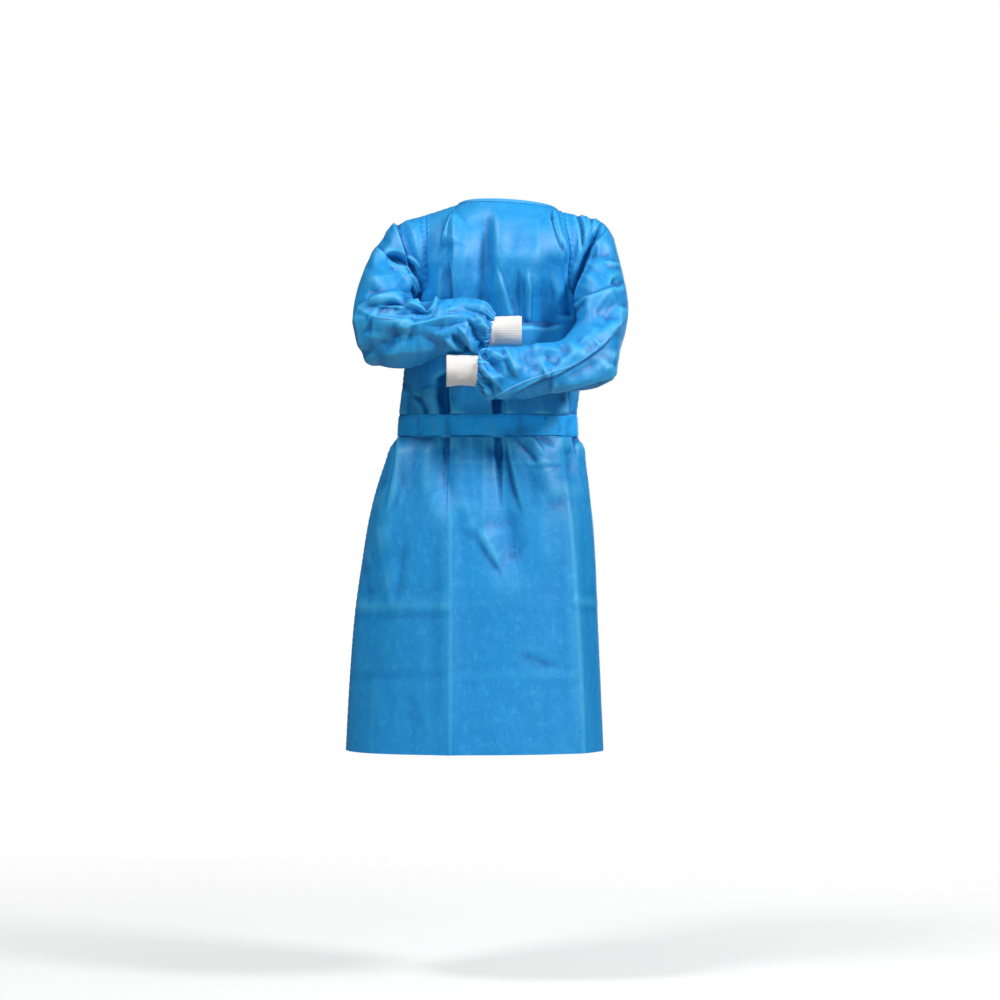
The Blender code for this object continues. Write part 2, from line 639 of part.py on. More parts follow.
def make_knot(name, centre, half, colour):
    """A pulled-tight knot: an egg with two soft lobes either side of a waist."""
    rings, sides = 9, 18
    pole = np.linspace(0, np.pi, rings + 2)[1:-1][:, None]
    turn = np.linspace(0, 2 * np.pi, sides, endpoint=False)[None, :]
    waist = 1 - KNOT_WAIST * np.sin(pole) ** 6 * (1 + 0.5 * np.cos(2 * turn))
    shape = np.stack((np.cos(pole) + 0 * turn, np.sin(pole) * np.cos(turn) * waist,
                      np.sin(pole) * np.sin(turn) * waist), axis=-1)
    ends = np.array(((1.0, 0.0, 0.0), (-1.0, 0.0, 0.0)))
    points = centre + np.concatenate((shape.reshape(-1, 3), ends)) * half
    index = np.arange(rings * sides).reshape(rings, sides)
    index = np.hstack((index, index[:, :1]))
    faces = np.stack((index[:-1, :-1], index[:-1, 1:], index[1:, 1:], index[1:, :-1]), axis=-1)
    first, last = rings * sides, rings * sides + 1
    caps = [(index[0, k], index[0, k + 1], first) for k in range(sides)]
    caps += [(index[-1, k], index[-1, k + 1], last) for k in range(sides)]
    add_object(name, points, faces.reshape(-1, 4).tolist() + caps, colour)


def back_depth(over, x, z):
    """How far back the over flap's form lies at places seen from behind."""
    rows = range(over.shape[0])
    depth = np.array([np.interp(x, over[row, :, 0], over[row, :, 1]) for row in rows])
    level = np.array([np.interp(x, over[row, :, 0], over[row, :, 2]) for row in rows])
    above = np.clip(np.sum(level < z, axis=0), 1, len(level) - 1)[None]
    low, high = (np.take_along_axis(level, above + step, axis=0)[0] for step in (-1, 0))
    near, far = (np.take_along_axis(depth, above + step, axis=0)[0] for step in (-1, 0))
    share = np.clip((z - low) / (high - low), 0, 1)
    return near + (far - near) * share


def make_tail(name, over, start, width, length, spread, colour):
    """A tape that hangs from a knot: narrow where it leaves the knot, then lying on the back."""
    along = np.linspace(0, 1, 12)[:, None]
    across = np.linspace(-0.5, 0.5, 3)[None, :]
    widening = 0.45 + 0.55 * ease(1.5 * along)
    x = start[0] + spread * along + width * widening * across
    z = start[2] - length * along + 0 * across
    resting = back_depth(over, x, z) + TAIL_GAP
    y = resting + np.maximum(start[1] - resting[:1], 0) * (1 - ease(5 * along))
    inner = np.stack((x, y, z), axis=-1)
    make_piece(name, inner + (0.0, WALL, 0.0), inner, False, colour)


def make_ties(over):
    """Knots and tails of the belt and of the neck binding, at the middle of the back."""
    behind = back_depth(over, np.array([BACK_CENTRE]), np.array([BELT_CENTRE]))[0]
    stand = BELT_GAP + WALL + SEAM_GAP + BELT_KNOT_HALF[1] * KNOT_THINNER
    belt_knot = np.array((BACK_CENTRE, behind + stand, BELT_CENTRE))
    make_knot("belt_knot", belt_knot, BELT_KNOT_HALF, CLOTH_DEEP)
    neck_knot = NECK_KNOT_CENTRE + (0.0, NECK_KNOT_HALF[1] * KNOT_THINNER + SEAM_GAP, 0.0)
    foot = neck_knot - (0.0, 0.0, NECK_KNOT_HALF[2] / 2)
    neck_knot[1] += back_depth(over, foot[:1], foot[2:])[0]
    make_knot("neck_knot", neck_knot, NECK_KNOT_HALF, CLOTH_PALE)
    for side, sign in (("right", -1), ("left", 1)):
        for tie, knot, half, width, length, spread, colour in (
                ("belt", belt_knot, BELT_KNOT_HALF, BELT_TAIL_WIDTH, BELT_TAIL_LENGTH,
                 BELT_TAIL_SPREAD, CLOTH_DEEP),
                ("neck", neck_knot, NECK_KNOT_HALF, NECK_TAIL_WIDTH, NECK_TAIL_LENGTH,
                 NECK_TAIL_SPREAD, CLOTH_PALE)):
            drop = half[2] * KNOT_LOWER + SEAM_GAP
            start = knot + np.array((sign * 0.26 * width, -WALL / 2, -drop))
            make_tail(tie + "_tail_" + side, over, start, width, length, sign * spread, colour)


def main():
    """Builds the gown in an emptied scene."""
    for old in list(bpy.data.objects):
        bpy.data.objects.remove(old, do_unlink=True)
    outers, over = make_cloth()
    make_cuffs()
    make_binding(outers)
    make_belt()
    make_ties(over)


main()
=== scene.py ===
"""Looks of the surgical gown: thin creased cloth, knitted cuffs and ties over the form of its solids.

Metres, +Z up, the front of the gown faces -Y, +X is on the right as seen from the front.
The first half repeats the form of the solids, worked out more finely; creases, seams and stitches
are then laid on it, and the materials, the stage, the lights and the camera come last.
"""

import bmesh
import bpy
import numpy as np
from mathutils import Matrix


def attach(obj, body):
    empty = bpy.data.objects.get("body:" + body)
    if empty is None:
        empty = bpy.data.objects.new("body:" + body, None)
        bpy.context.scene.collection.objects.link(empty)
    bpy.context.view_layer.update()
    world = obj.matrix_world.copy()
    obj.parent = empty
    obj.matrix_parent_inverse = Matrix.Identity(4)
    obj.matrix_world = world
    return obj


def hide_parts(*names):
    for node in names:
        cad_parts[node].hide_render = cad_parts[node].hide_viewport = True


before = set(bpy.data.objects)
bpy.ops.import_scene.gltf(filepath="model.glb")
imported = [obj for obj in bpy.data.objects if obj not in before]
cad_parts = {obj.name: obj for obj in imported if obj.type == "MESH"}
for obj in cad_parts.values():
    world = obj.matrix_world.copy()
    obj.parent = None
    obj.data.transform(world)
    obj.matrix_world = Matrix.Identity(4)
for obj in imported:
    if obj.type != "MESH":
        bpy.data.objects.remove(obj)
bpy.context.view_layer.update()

# Cloth and seams of the solids
WALL = 0.0015
FLAP_LIFT = 0.0048
THIN = 0.0010

# Heights on the body
HEM_HEIGHT = -1.117
ARMPIT_HEIGHT = -0.230
BELT_CENTRE = -0.452
BELT_WIDTH = 0.041
BELT_GAP = 0.0007
BELT_ROWS = (-0.475, -0.430)

# Turns of the body part, in degrees
SIDE_ANGLE = 90.0
OVERLAP_ANGLE = 15.0
NECK_START = 37.5
NECK_STOP = 157.5
SQUARENESS = 2.3
TURNED_SHOULDER = 84
TURNED_NECK = 46
HOLD_AT_SHOULDER = 2.2
HOLD_AT_ARMPIT = 3.2

# Steps of the fine grids: all are even, because an inner face has half as many
FRONT_COLUMNS = 240
UPPER_STEPS = 96
LOWER_ROWS = ((-1.117, -0.560, 96), (-0.560, -0.360, 66), (-0.360, -0.230, 48))
SLEEVE_COLUMNS = 256
SLEEVE_STEPS = 232
CUFF_COLUMNS = 324
CUFF_STEPS = 60
BINDING_STEP = 0.0010
GATHERS = 8
GATHER_DEPTH = 0.0030

# Neck opening and its binding
NECK_RIGHT = np.array((-0.0951, 0.0, 0.0045))
NECK_LEFT = np.array((0.1080, 0.0, -0.0076))
NECK_FRONT = 0.0850
NECK_BACK = 0.0785
NECK_FRONT_RISE = 0.0048
NECK_BACK_RISE = 0.0
BINDING_HEIGHT = 0.009

# Knots and tails at the back
TAIL_GAP = 0.0030
BACK_CENTRE = -0.034
BELT_KNOT_HALF = np.array((0.023, 0.010, 0.018))
BELT_TAIL_WIDTH = 0.034
BELT_TAIL_LENGTH = 0.300
BELT_TAIL_SPREAD = 0.034
NECK_KNOT_CENTRE = np.array((0.0065, 0.0, -0.004))
NECK_KNOT_HALF = np.array((0.009, 0.005, 0.007))
NECK_TAIL_WIDTH = 0.010
NECK_TAIL_LENGTH = 0.160
NECK_TAIL_SPREAD = 0.022
KNOT_THINNER = 0.79
KNOT_LOWER = 0.93

BODY_MIDDLE = np.array((-0.03, 0.0, -0.5))

# The camera stands straight in front, and creases are placed as it sees them
CAMERA_PLACE = np.array((-0.0103, -7.0, -0.6036))
CAMERA_LENS = 36 * 7.0 / 2.06


def table(names, *rows):
    """A table as a dictionary with one array for each named column."""
    return dict(zip(names.split(), np.array(rows, dtype=float).T))


# Level sections of the body part, from the hem up to the armpits
BODY = table(
    "height centre half_width front back",
    (-1.117, -0.063, 0.264, 0.168, 0.158),
    (-0.970, -0.062, 0.257, 0.160, 0.152),
    (-0.826, -0.059, 0.248, 0.153, 0.146),
    (-0.727, -0.054, 0.239, 0.148, 0.141),
    (-0.643, -0.050, 0.229, 0.143, 0.136),
    (-0.585, -0.046, 0.219, 0.138, 0.131),
    (-0.527, -0.040, 0.206, 0.132, 0.125),
    (-0.492, -0.036, 0.197, 0.127, 0.119),
    (-0.472, -0.035, 0.183, 0.122, 0.114),
    (-0.432, -0.035, 0.182, 0.121, 0.113),
    (-0.377, -0.029, 0.182, 0.124, 0.114),
    (-0.310, -0.025, 0.179, 0.127, 0.116),
    (-0.230, -0.0165, 0.175, 0.127, 0.116),
)

# The armholes: turn is 0 at the armpit and 180 at the shoulder
ARMHOLE_RIGHT = table(
    "turn front back",
    (0, -0.1915, -0.1915),
    (25, -0.184, -0.188),
    (50, -0.161, -0.174),
    (90, -0.158, -0.165),
    (135, -0.161, -0.163),
    (180, -0.163, -0.163),
)
ARMHOLE_LEFT = table(
    "turn front back",
    (0, 0.1585, 0.1585),
    (25, 0.151, 0.156),
    (60, 0.128, 0.145),
    (100, 0.131, 0.137),
    (135, 0.124, 0.131),
    (180, 0.1185, 0.1185),
)
SHOULDER_RIGHT_HEIGHT = -0.018
SHOULDER_LEFT_HEIGHT = -0.012
ARMHOLE_FRONT = 0.078
ARMHOLE_BACK = 0.072
ARMPIT_POINT = 0.20

# Sections along each sleeve after the armhole
SLEEVE_RIGHT = table(
    "x y z reach_x reach_y reach_z",
    (-0.215, -0.010, -0.134, 0.064, 0.083, 0.099),
    (-0.244, -0.100, -0.205, 0.060, 0.068, 0.082),
    (-0.238, -0.160, -0.259, 0.058, 0.062, 0.083),
    (-0.197, -0.196, -0.272, 0.058, 0.056, 0.068),
    (-0.140, -0.205, -0.262, 0.055, 0.054, 0.058),
    (-0.085, -0.205, -0.258, 0.050, 0.050, 0.053),
    (-0.048, -0.205, -0.260, 0.045, 0.045, 0.047),
    (-0.026, -0.205, -0.265, 0.034, 0.034, 0.034),
)
SLEEVE_LEFT = table(
    "x y z reach_x reach_y reach_z",
    (0.176, -0.010, -0.127, 0.060, 0.083, 0.104),
    (0.198, -0.092, -0.206, 0.052, 0.068, 0.088),
    (0.189, -0.146, -0.272, 0.047, 0.062, 0.084),
    (0.164, -0.192, -0.321, 0.056, 0.058, 0.068),
    (0.120, -0.217, -0.337, 0.050, 0.052, 0.053),
    (0.070, -0.224, -0.342, 0.048, 0.048, 0.049),
    (0.015, -0.227, -0.346, 0.046, 0.046, 0.047),
    (-0.030, -0.228, -0.349, 0.045, 0.045, 0.048),
    (-0.058, -0.230, -0.346, 0.036, 0.036, 0.037),
)
FIRST_SECTION_HOLD = 3.0

CUFF_LENGTH = 0.065
CUFF_TUCK = 0.006
CUFF_RIGHT_RADIUS = 0.0294
CUFF_LEFT_RADIUS = 0.0315

# Large folds that the solids have
FRONT_FOLDS = table(
    "x_top z_top x_low z_low width depth",
    (-0.043, -0.010, -0.040, -0.330, 0.022, -0.0150),
    (-0.014, -0.010, -0.012, -0.300, 0.018, 0.0080),
    (-0.085, -0.040, -0.108, -0.340, 0.026, 0.0100),
    (0.055, -0.060, 0.025, -0.330, 0.030, 0.0110),
    (0.102, -0.080, 0.075, -0.360, 0.022, -0.0100),
    (-0.121, -0.290, -0.118, -0.660, 0.019, -0.0160),
    (-0.150, -0.300, -0.165, -0.640, 0.018, 0.0080),
    (-0.018, -0.310, -0.019, -0.560, 0.018, -0.0150),
    (-0.010, -0.440, 0.014, -0.800, 0.036, -0.0160),
    (0.052, -0.470, 0.110, -0.620, 0.022, 0.0080),
    (0.122, -0.320, 0.142, -0.600, 0.018, -0.0150),
    (-0.205, -0.440, -0.255, -0.740, 0.022, 0.0110),
    (-0.113, -0.540, -0.113, -1.180, 0.020, 0.0065),
    (0.120, -0.500, 0.152, -1.180, 0.020, 0.0075),
)
BACK_FOLDS = table(
    "x_top z_top x_low z_low width depth",
    (-0.100, -0.040, -0.085, -0.420, 0.026, -0.0110),
    (0.078, -0.050, 0.068, -0.420, 0.028, 0.0100),
    (-0.120, -0.380, -0.155, -0.950, 0.026, -0.0150),
    (-0.080, -0.400, -0.100, -1.170, 0.028, 0.0130),
    (0.055, -0.400, 0.080, -1.170, 0.030, 0.0130),
    (0.100, -0.380, 0.140, -0.900, 0.024, -0.0150),
)
SLEEVE_RIGHT_FOLDS = table(
    "x_top z_top x_low z_low width depth",
    (-0.215, -0.030, -0.160, -0.185, 0.013, -0.0120),
    (-0.262, -0.095, -0.175, -0.165, 0.020, -0.0180),
    (-0.300, -0.150, -0.190, -0.200, 0.022, 0.0090),
    (-0.285, -0.214, -0.130, -0.212, 0.012, 0.0090),
    (-0.280, -0.236, -0.150, -0.240, 0.010, -0.0080),
    (-0.185, -0.290, -0.070, -0.245, 0.018, 0.0050),
)
SLEEVE_LEFT_FOLDS = table(
    "x_top z_top x_low z_low width depth",
    (0.160, -0.030, 0.130, -0.215, 0.010, -0.0090),
    (0.196, -0.045, 0.128, -0.235, 0.010, -0.0110),
    (0.180, -0.020, 0.140, -0.180, 0.014, 0.0060),
    (0.235, -0.130, 0.150, -0.250, 0.020, 0.0060),
    (0.232, -0.240, 0.060, -0.372, 0.012, 0.0050),
    (0.150, -0.300, 0.020, -0.325, 0.016, -0.0060),
)

# Creases, placed as the camera sees them. near is the width on the side towards -X of a
#  line that runs down, or below a line that runs to the right, and far the width on its other side.
# depth is out of the cloth, point runs from 0, a soft bell, to 1, a sharp ridge, and flare is how
# much wider the lower end is than the upper one.
FRONT_CREASES = table(
    "x_top z_top x_low z_low bow near far depth point flare fade_top fade_low",
    (-0.103, -0.002, -0.132, -0.082, 0.0000, 0.0052, 0.0247, 0.0105, 0.9, 0.3, 0.30, 0.30),
    (-0.128, -0.014, -0.146, -0.113, 0.0000, 0.0144, 0.0082, -0.0060, 0.5, 0.2, 0.35, 0.35),
    (-0.101, -0.002, -0.109, -0.198, 0.0021, 0.0082, 0.0185, 0.0067, 0.9, 0.1, 0.25, 0.30),
    (-0.115, -0.105, -0.115, -0.212, 0.0000, 0.0103, 0.0049, -0.0127, 0.8, 0.3, 0.40, 0.20),
    (-0.134, -0.113, -0.132, -0.216, 0.0000, 0.0103, 0.0103, 0.0045, 0.8, 0.2, 0.35, 0.35),
    (-0.076, -0.089, -0.072, -0.229, 0.0000, 0.0185, 0.0144, -0.0045, 0.5, 0.3, 0.35, 0.35),
    (-0.041, 0.002, -0.039, -0.175, 0.0000, 0.0185, 0.0144, -0.0060, 0.5, 0.0, 0.25, 0.40),
    (-0.019, 0.002, -0.016, -0.155, 0.0000, 0.0124, 0.0536, 0.0054, 0.8, 0.0, 0.25, 0.40),
    (-0.019, -0.113, 0.016, -0.237, 0.0000, 0.0144, 0.0049, 0.0090, 1.0, 0.2, 0.45, 0.15),
    (0.025, -0.117, 0.031, -0.253, 0.0000, 0.0165, 0.0185, -0.0120, 0.8, 0.3, 0.50, 0.10),
    (0.047, -0.122, 0.052, -0.245, 0.0000, 0.0062, 0.0054, 0.0075, 1.0, 0.0, 0.40, 0.15),
    (0.080, -0.130, 0.084, -0.253, 0.0000, 0.0227, 0.0206, -0.0120, 0.8, 0.3, 0.50, 0.10),
    (0.023, -0.010, 0.029, -0.113, 0.0000, 0.0185, 0.0185, -0.0030, 0.4, 0.0, 0.35, 0.35),
    (0.066, -0.014, 0.068, -0.140, 0.0000, 0.0247, 0.0185, 0.0045, 0.8, 0.0, 0.35, 0.35),
    (0.099, -0.000, 0.130, -0.101, -0.0062, 0.0062, 0.0041, -0.0120, 0.9, 0.0, 0.20, 0.25),
    (0.093, -0.006, 0.122, -0.126, -0.0021, 0.0165, 0.0062, 0.0053, 0.8, 0.0, 0.30, 0.30),
    (0.128, -0.080, 0.136, -0.233, 0.0000, 0.0144, 0.0041, -0.0075, 0.8, 0.3, 0.25, 0.10),
    (-0.202, -0.365, -0.212, -0.435, 0.0000, 0.0062, 0.0062, 0.0090, 1.0, 0.0, 0.30, 0.10),
    (-0.214, -0.373, -0.220, -0.435, 0.0000, 0.0082, 0.0052, -0.0105, 0.7, 0.0, 0.30, 0.10),
    (-0.194, -0.385, -0.163, -0.433, 0.0062, 0.0041, 0.0082, -0.0067, 0.8, 0.0, 0.30, 0.10),
    (-0.148, -0.365, -0.146, -0.435, 0.0000, 0.0165, 0.0082, 0.0060, 0.9, 0.0, 0.20, 0.10),
    (-0.122, -0.336, -0.119, -0.554, 0.0000, 0.0124, 0.0049, -0.0195, 0.8, -0.2, 0.10, 0.55),
    (-0.109, -0.348, -0.109, -0.604, 0.0000, 0.0041, 0.0185, 0.0083, 1.0, 0.0, 0.10, 0.80),
    (-0.021, -0.332, -0.008, -0.653, 0.0000, 0.0062, 0.0074, -0.0210, 0.8, 0.1, 0.10, 0.70),
    (0.000, -0.356, 0.008, -0.435, 0.0000, 0.0062, 0.0124, 0.0045, 0.9, 0.0, 0.30, 0.10),
    (0.062, -0.365, 0.080, -0.435, 0.0000, 0.0185, 0.0144, 0.0045, 0.8, 0.0, 0.30, 0.10),
    (0.124, -0.356, 0.126, -0.439, 0.0000, 0.0124, 0.0041, 0.0075, 1.0, 0.0, 0.20, 0.10),
    (0.136, -0.336, 0.148, -0.525, 0.0000, 0.0062, 0.0070, -0.0165, 0.8, -0.1, 0.10, 0.45),
    (-0.220, -0.447, -0.249, -0.645, 0.0103, 0.0049, 0.0103, 0.0060, 1.0, 0.2, 0.10, 0.35),
    (-0.235, -0.447, -0.274, -0.616, 0.0041, 0.0144, 0.0103, -0.0070, 0.7, 0.3, 0.10, 0.35),
    (-0.202, -0.447, -0.206, -0.575, 0.0000, 0.0082, 0.0103, 0.0030, 0.9, 0.2, 0.10, 0.50),
    (-0.167, -0.447, -0.179, -0.645, 0.0000, 0.0165, 0.0165, -0.0030, 0.5, 0.0, 0.10, 0.90),
    (-0.072, -0.447, -0.062, -0.645, 0.0000, 0.0103, 0.0103, 0.0030, 0.8, 0.0, 0.10, 0.90),
    (-0.043, -0.447, -0.047, -0.727, 0.0000, 0.0144, 0.0103, 0.0040, 0.8, 0.0, 0.10, 0.90),
    (0.000, -0.447, 0.045, -0.645, -0.0041, 0.0049, 0.0165, 0.0060, 1.0, 0.4, 0.10, 0.40),
    (0.027, -0.447, 0.084, -0.513, 0.0000, 0.0082, 0.0058, 0.0070, 1.0, 0.2, 0.20, 0.40),
    (0.019, -0.472, 0.072, -0.534, 0.0000, 0.0082, 0.0062, -0.0055, 0.8, 0.2, 0.35, 0.35),
    (0.052, -0.451, 0.109, -0.501, 0.0000, 0.0052, 0.0062, -0.0045, 0.8, 0.2, 0.20, 0.40),
    (0.109, -0.447, 0.126, -0.562, 0.0000, 0.0103, 0.0082, 0.0030, 0.8, 0.0, 0.10, 0.40),
    (0.159, -0.447, 0.175, -0.624, 0.0000, 0.0062, 0.0062, 0.0035, 0.9, 0.2, 0.10, 0.40),
    (-0.062, -0.653, -0.006, -0.756, 0.0000, 0.0062, 0.0247, 0.0060, 1.0, -0.4, 0.35, 0.35),
    (-0.089, -0.583, -0.060, -0.686, 0.0000, 0.0144, 0.0185, 0.0035, 0.8, 0.0, 0.35, 0.35),
    (0.000, -0.604, 0.023, -0.752, 0.0041, 0.0185, 0.0165, -0.0045, 0.6, 0.0, 0.35, 0.35),
    (0.072, -0.542, 0.089, -0.789, 0.0000, 0.0288, 0.0247, 0.0030, 0.6, 0.0, 0.35, 0.35),
    (-0.262, -0.637, -0.231, -0.834, 0.0000, 0.0144, 0.0185, 0.0040, 0.9, 0.0, 0.35, 0.35),
    (-0.200, -0.665, -0.225, -0.834, 0.0000, 0.0124, 0.0103, -0.0026, 0.7, 0.0, 0.35, 0.35),
    (-0.293, -0.707, -0.276, -0.834, 0.0000, 0.0144, 0.0103, -0.0035, 0.6, 0.0, 0.35, 0.35),
    (-0.113, -0.447, -0.113, -1.428, 0.0000, 0.1030, 0.1030, 0.0110, 1.0, 0.0, 0.20, 0.20),
    (-0.113, -0.480, -0.113, -1.428, 0.0000, 0.0033, 0.0033, 0.0009, 1.0, 0.0, 0.10, 0.20),
    (0.117, -0.480, 0.159, -1.428, 0.0124, 0.0906, 0.0618, 0.0100, 1.0, 0.0, 0.20, 0.20),
    (0.117, -0.509, 0.159, -1.428, 0.0124, 0.0033, 0.0037, 0.0012, 1.0, 0.0, 0.10, 0.20),
    (-0.340, -0.822, -0.103, -0.822, 0.0000, 0.0124, 0.0206, 0.0022, 1.0, 0.0, 0.10, 0.10),
    (-0.134, -0.818, 0.167, -0.814, 0.0000, 0.0103, 0.0103, 0.0003, 1.0, 0.0, 0.20, 0.20),
    (0.130, -0.812, 0.237, -0.820, 0.0000, 0.0082, 0.0124, 0.0016, 1.0, 0.0, 0.10, 0.10),
    (-0.124, -0.527, 0.126, -0.525, 0.0000, 0.0062, 0.0045, 0.0008, 0.9, 0.0, 0.20, 0.20),
    (0.039, -0.536, 0.119, -0.534, 0.0000, 0.0062, 0.0045, -0.0013, 0.8, 0.0, 0.35, 0.35),
    (-0.340, -0.968, -0.103, -0.964, 0.0000, 0.0124, 0.0124, -0.0007, 0.9, 0.0, 0.10, 0.10),
    (-0.124, -0.966, 0.159, -0.966, 0.0000, 0.0103, 0.0103, 0.0005, 0.9, 0.0, 0.10, 0.10),
    (0.014, -0.913, 0.117, -0.954, 0.0000, 0.0144, 0.0103, -0.0018, 0.8, 0.0, 0.35, 0.35),
    (-0.072, -0.768, -0.060, -1.040, 0.0000, 0.0247, 0.0247, -0.0018, 0.6, 0.0, 0.35, 0.35),
    (-0.165, -0.830, -0.155, -1.160, 0.0000, 0.0185, 0.0206, 0.0018, 0.7, 0.0, 0.35, 0.35),
    (0.072, -0.851, 0.089, -1.180, 0.0000, 0.0288, 0.0206, -0.0020, 0.6, 0.0, 0.35, 0.35),
    (-0.266, -0.933, -0.278, -1.222, 0.0000, 0.0206, 0.0206, 0.0032, 0.6, 0.3, 0.35, 0.35),
    (-0.196, -0.974, -0.192, -1.222, 0.0000, 0.0185, 0.0206, -0.0026, 0.6, 0.3, 0.35, 0.35),
    (-0.010, -0.995, -0.006, -1.201, 0.0000, 0.0206, 0.0247, 0.0018, 0.7, 0.0, 0.35, 0.35),
    (0.175, -0.624, 0.185, -1.201, 0.0000, 0.0103, 0.0103, -0.0018, 0.7, 0.0, 0.35, 0.35),
)
SLEEVE_RIGHT_CREASES = table(
    "x_top z_top x_low z_low bow near far depth point flare fade_top fade_low",
    (-0.225, -0.019, -0.155, -0.192, -0.0082, 0.0033, 0.0144, -0.0135, 1.0, 0.0, 0.15, 0.15),
    (-0.231, -0.021, -0.161, -0.192, -0.0082, 0.0144, 0.0033, 0.0112, 1.0, 0.1, 0.20, 0.25),
    (-0.181, -0.014, -0.163, -0.171, 0.0000, 0.0185, 0.0062, 0.0060, 1.0, 0.0, 0.25, 0.30),
    (-0.210, -0.093, -0.171, -0.136, 0.0041, 0.0033, 0.0041, 0.0060, 1.0, 0.0, 0.30, 0.30),
    (-0.255, -0.097, -0.177, -0.144, 0.0103, 0.0124, 0.0062, -0.0210, 0.9, -0.1, 0.25, 0.25),
    (-0.270, -0.078, -0.167, -0.159, -0.0062, 0.0227, 0.0037, 0.0135, 1.0, 0.0, 0.15, 0.20),
    (-0.290, -0.150, -0.187, -0.157, 0.0062, 0.0185, 0.0082, 0.0060, 0.9, 0.0, 0.25, 0.30),
    (-0.295, -0.177, -0.183, -0.175, 0.0062, 0.0144, 0.0144, -0.0083, 0.7, 0.0, 0.25, 0.30),
    (-0.194, -0.138, -0.175, -0.204, 0.0000, 0.0049, 0.0062, 0.0090, 1.0, 0.0, 0.20, 0.20),
    (-0.185, -0.171, -0.148, -0.208, 0.0000, 0.0103, 0.0082, -0.0165, 0.8, 0.3, 0.30, 0.20),
    (-0.165, -0.113, -0.157, -0.192, 0.0000, 0.0062, 0.0062, -0.0075, 0.8, 0.0, 0.35, 0.35),
    (-0.249, -0.043, -0.262, -0.113, 0.0000, 0.0103, 0.0103, -0.0060, 0.8, 0.0, 0.35, 0.35),
    (-0.286, -0.204, -0.196, -0.185, 0.0082, 0.0054, 0.0124, 0.0135, 1.0, 0.0, 0.20, 0.20),
    (-0.262, -0.204, -0.187, -0.196, 0.0041, 0.0062, 0.0037, -0.0135, 0.9, 0.0, 0.35, 0.35),
    (-0.305, -0.200, -0.262, -0.227, -0.0041, 0.0247, 0.0124, 0.0105, 1.0, 0.0, 0.30, 0.15),
    (-0.278, -0.225, -0.183, -0.239, -0.0062, 0.0227, 0.0103, 0.0127, 1.0, 0.0, 0.15, 0.20),
    (-0.266, -0.212, -0.212, -0.212, 0.0021, 0.0062, 0.0062, -0.0090, 0.8, 0.0, 0.35, 0.35),
    (-0.216, -0.200, -0.155, -0.218, 0.0062, 0.0062, 0.0082, 0.0090, 1.0, 0.0, 0.35, 0.35),
    (-0.200, -0.220, -0.146, -0.216, 0.0000, 0.0054, 0.0062, -0.0090, 0.8, 0.0, 0.35, 0.35),
    (-0.161, -0.216, -0.134, -0.179, 0.0000, 0.0062, 0.0062, 0.0090, 1.0, 0.0, 0.35, 0.35),
    (-0.225, -0.249, -0.093, -0.220, -0.0041, 0.0124, 0.0062, 0.0105, 1.0, 0.0, 0.25, 0.25),
    (-0.155, -0.229, -0.089, -0.206, 0.0000, 0.0052, 0.0144, 0.0083, 1.0, 0.0, 0.35, 0.35),
    (-0.167, -0.247, -0.064, -0.229, -0.0041, 0.0124, 0.0082, -0.0075, 0.8, 0.0, 0.35, 0.35),
    (-0.138, -0.194, 0.000, -0.210, 0.0041, 0.0103, 0.0103, 0.0067, 0.9, 0.0, 0.35, 0.35),
    (-0.101, -0.204, -0.010, -0.233, 0.0021, 0.0082, 0.0082, -0.0075, 0.8, 0.0, 0.35, 0.35),
    (-0.301, -0.216, -0.290, -0.307, 0.0000, 0.0082, 0.0124, 0.0083, 1.0, 0.0, 0.20, 0.30),
    (-0.295, -0.258, -0.216, -0.274, -0.0041, 0.0124, 0.0082, 0.0053, 0.9, 0.0, 0.35, 0.35),
    (-0.270, -0.286, -0.200, -0.255, 0.0000, 0.0124, 0.0103, -0.0060, 0.7, 0.0, 0.35, 0.35),
    (-0.270, -0.307, -0.122, -0.286, 0.0000, 0.0144, 0.0124, 0.0053, 0.7, 0.0, 0.35, 0.35),
    (-0.222, -0.237, -0.241, -0.307, 0.0000, 0.0124, 0.0124, -0.0053, 0.8, 0.0, 0.35, 0.35),
    (-0.175, -0.262, -0.113, -0.299, 0.0000, 0.0124, 0.0103, -0.0053, 0.8, 0.0, 0.35, 0.35),
    (-0.301, -0.299, -0.258, -0.344, 0.0000, 0.0144, 0.0144, 0.0112, 1.0, 0.0, 0.45, 0.45),
    (-0.080, -0.225, -0.041, -0.295, 0.0000, 0.0062, 0.0062, -0.0105, 0.8, 0.0, 0.30, 0.20),
    (-0.064, -0.212, -0.023, -0.282, 0.0000, 0.0062, 0.0070, 0.0090, 1.0, 0.0, 0.30, 0.20),
    (-0.097, -0.241, -0.054, -0.307, 0.0000, 0.0072, 0.0062, 0.0090, 1.0, 0.0, 0.30, 0.20),
    (-0.037, -0.214, -0.012, -0.286, 0.0000, 0.0054, 0.0054, -0.0090, 0.8, 0.0, 0.30, 0.20),
    (-0.113, -0.258, -0.070, -0.309, 0.0000, 0.0082, 0.0062, -0.0105, 0.8, 0.0, 0.30, 0.20),
    (-0.130, -0.270, -0.076, -0.303, 0.0000, 0.0062, 0.0062, 0.0075, 0.9, 0.0, 0.30, 0.20),
)
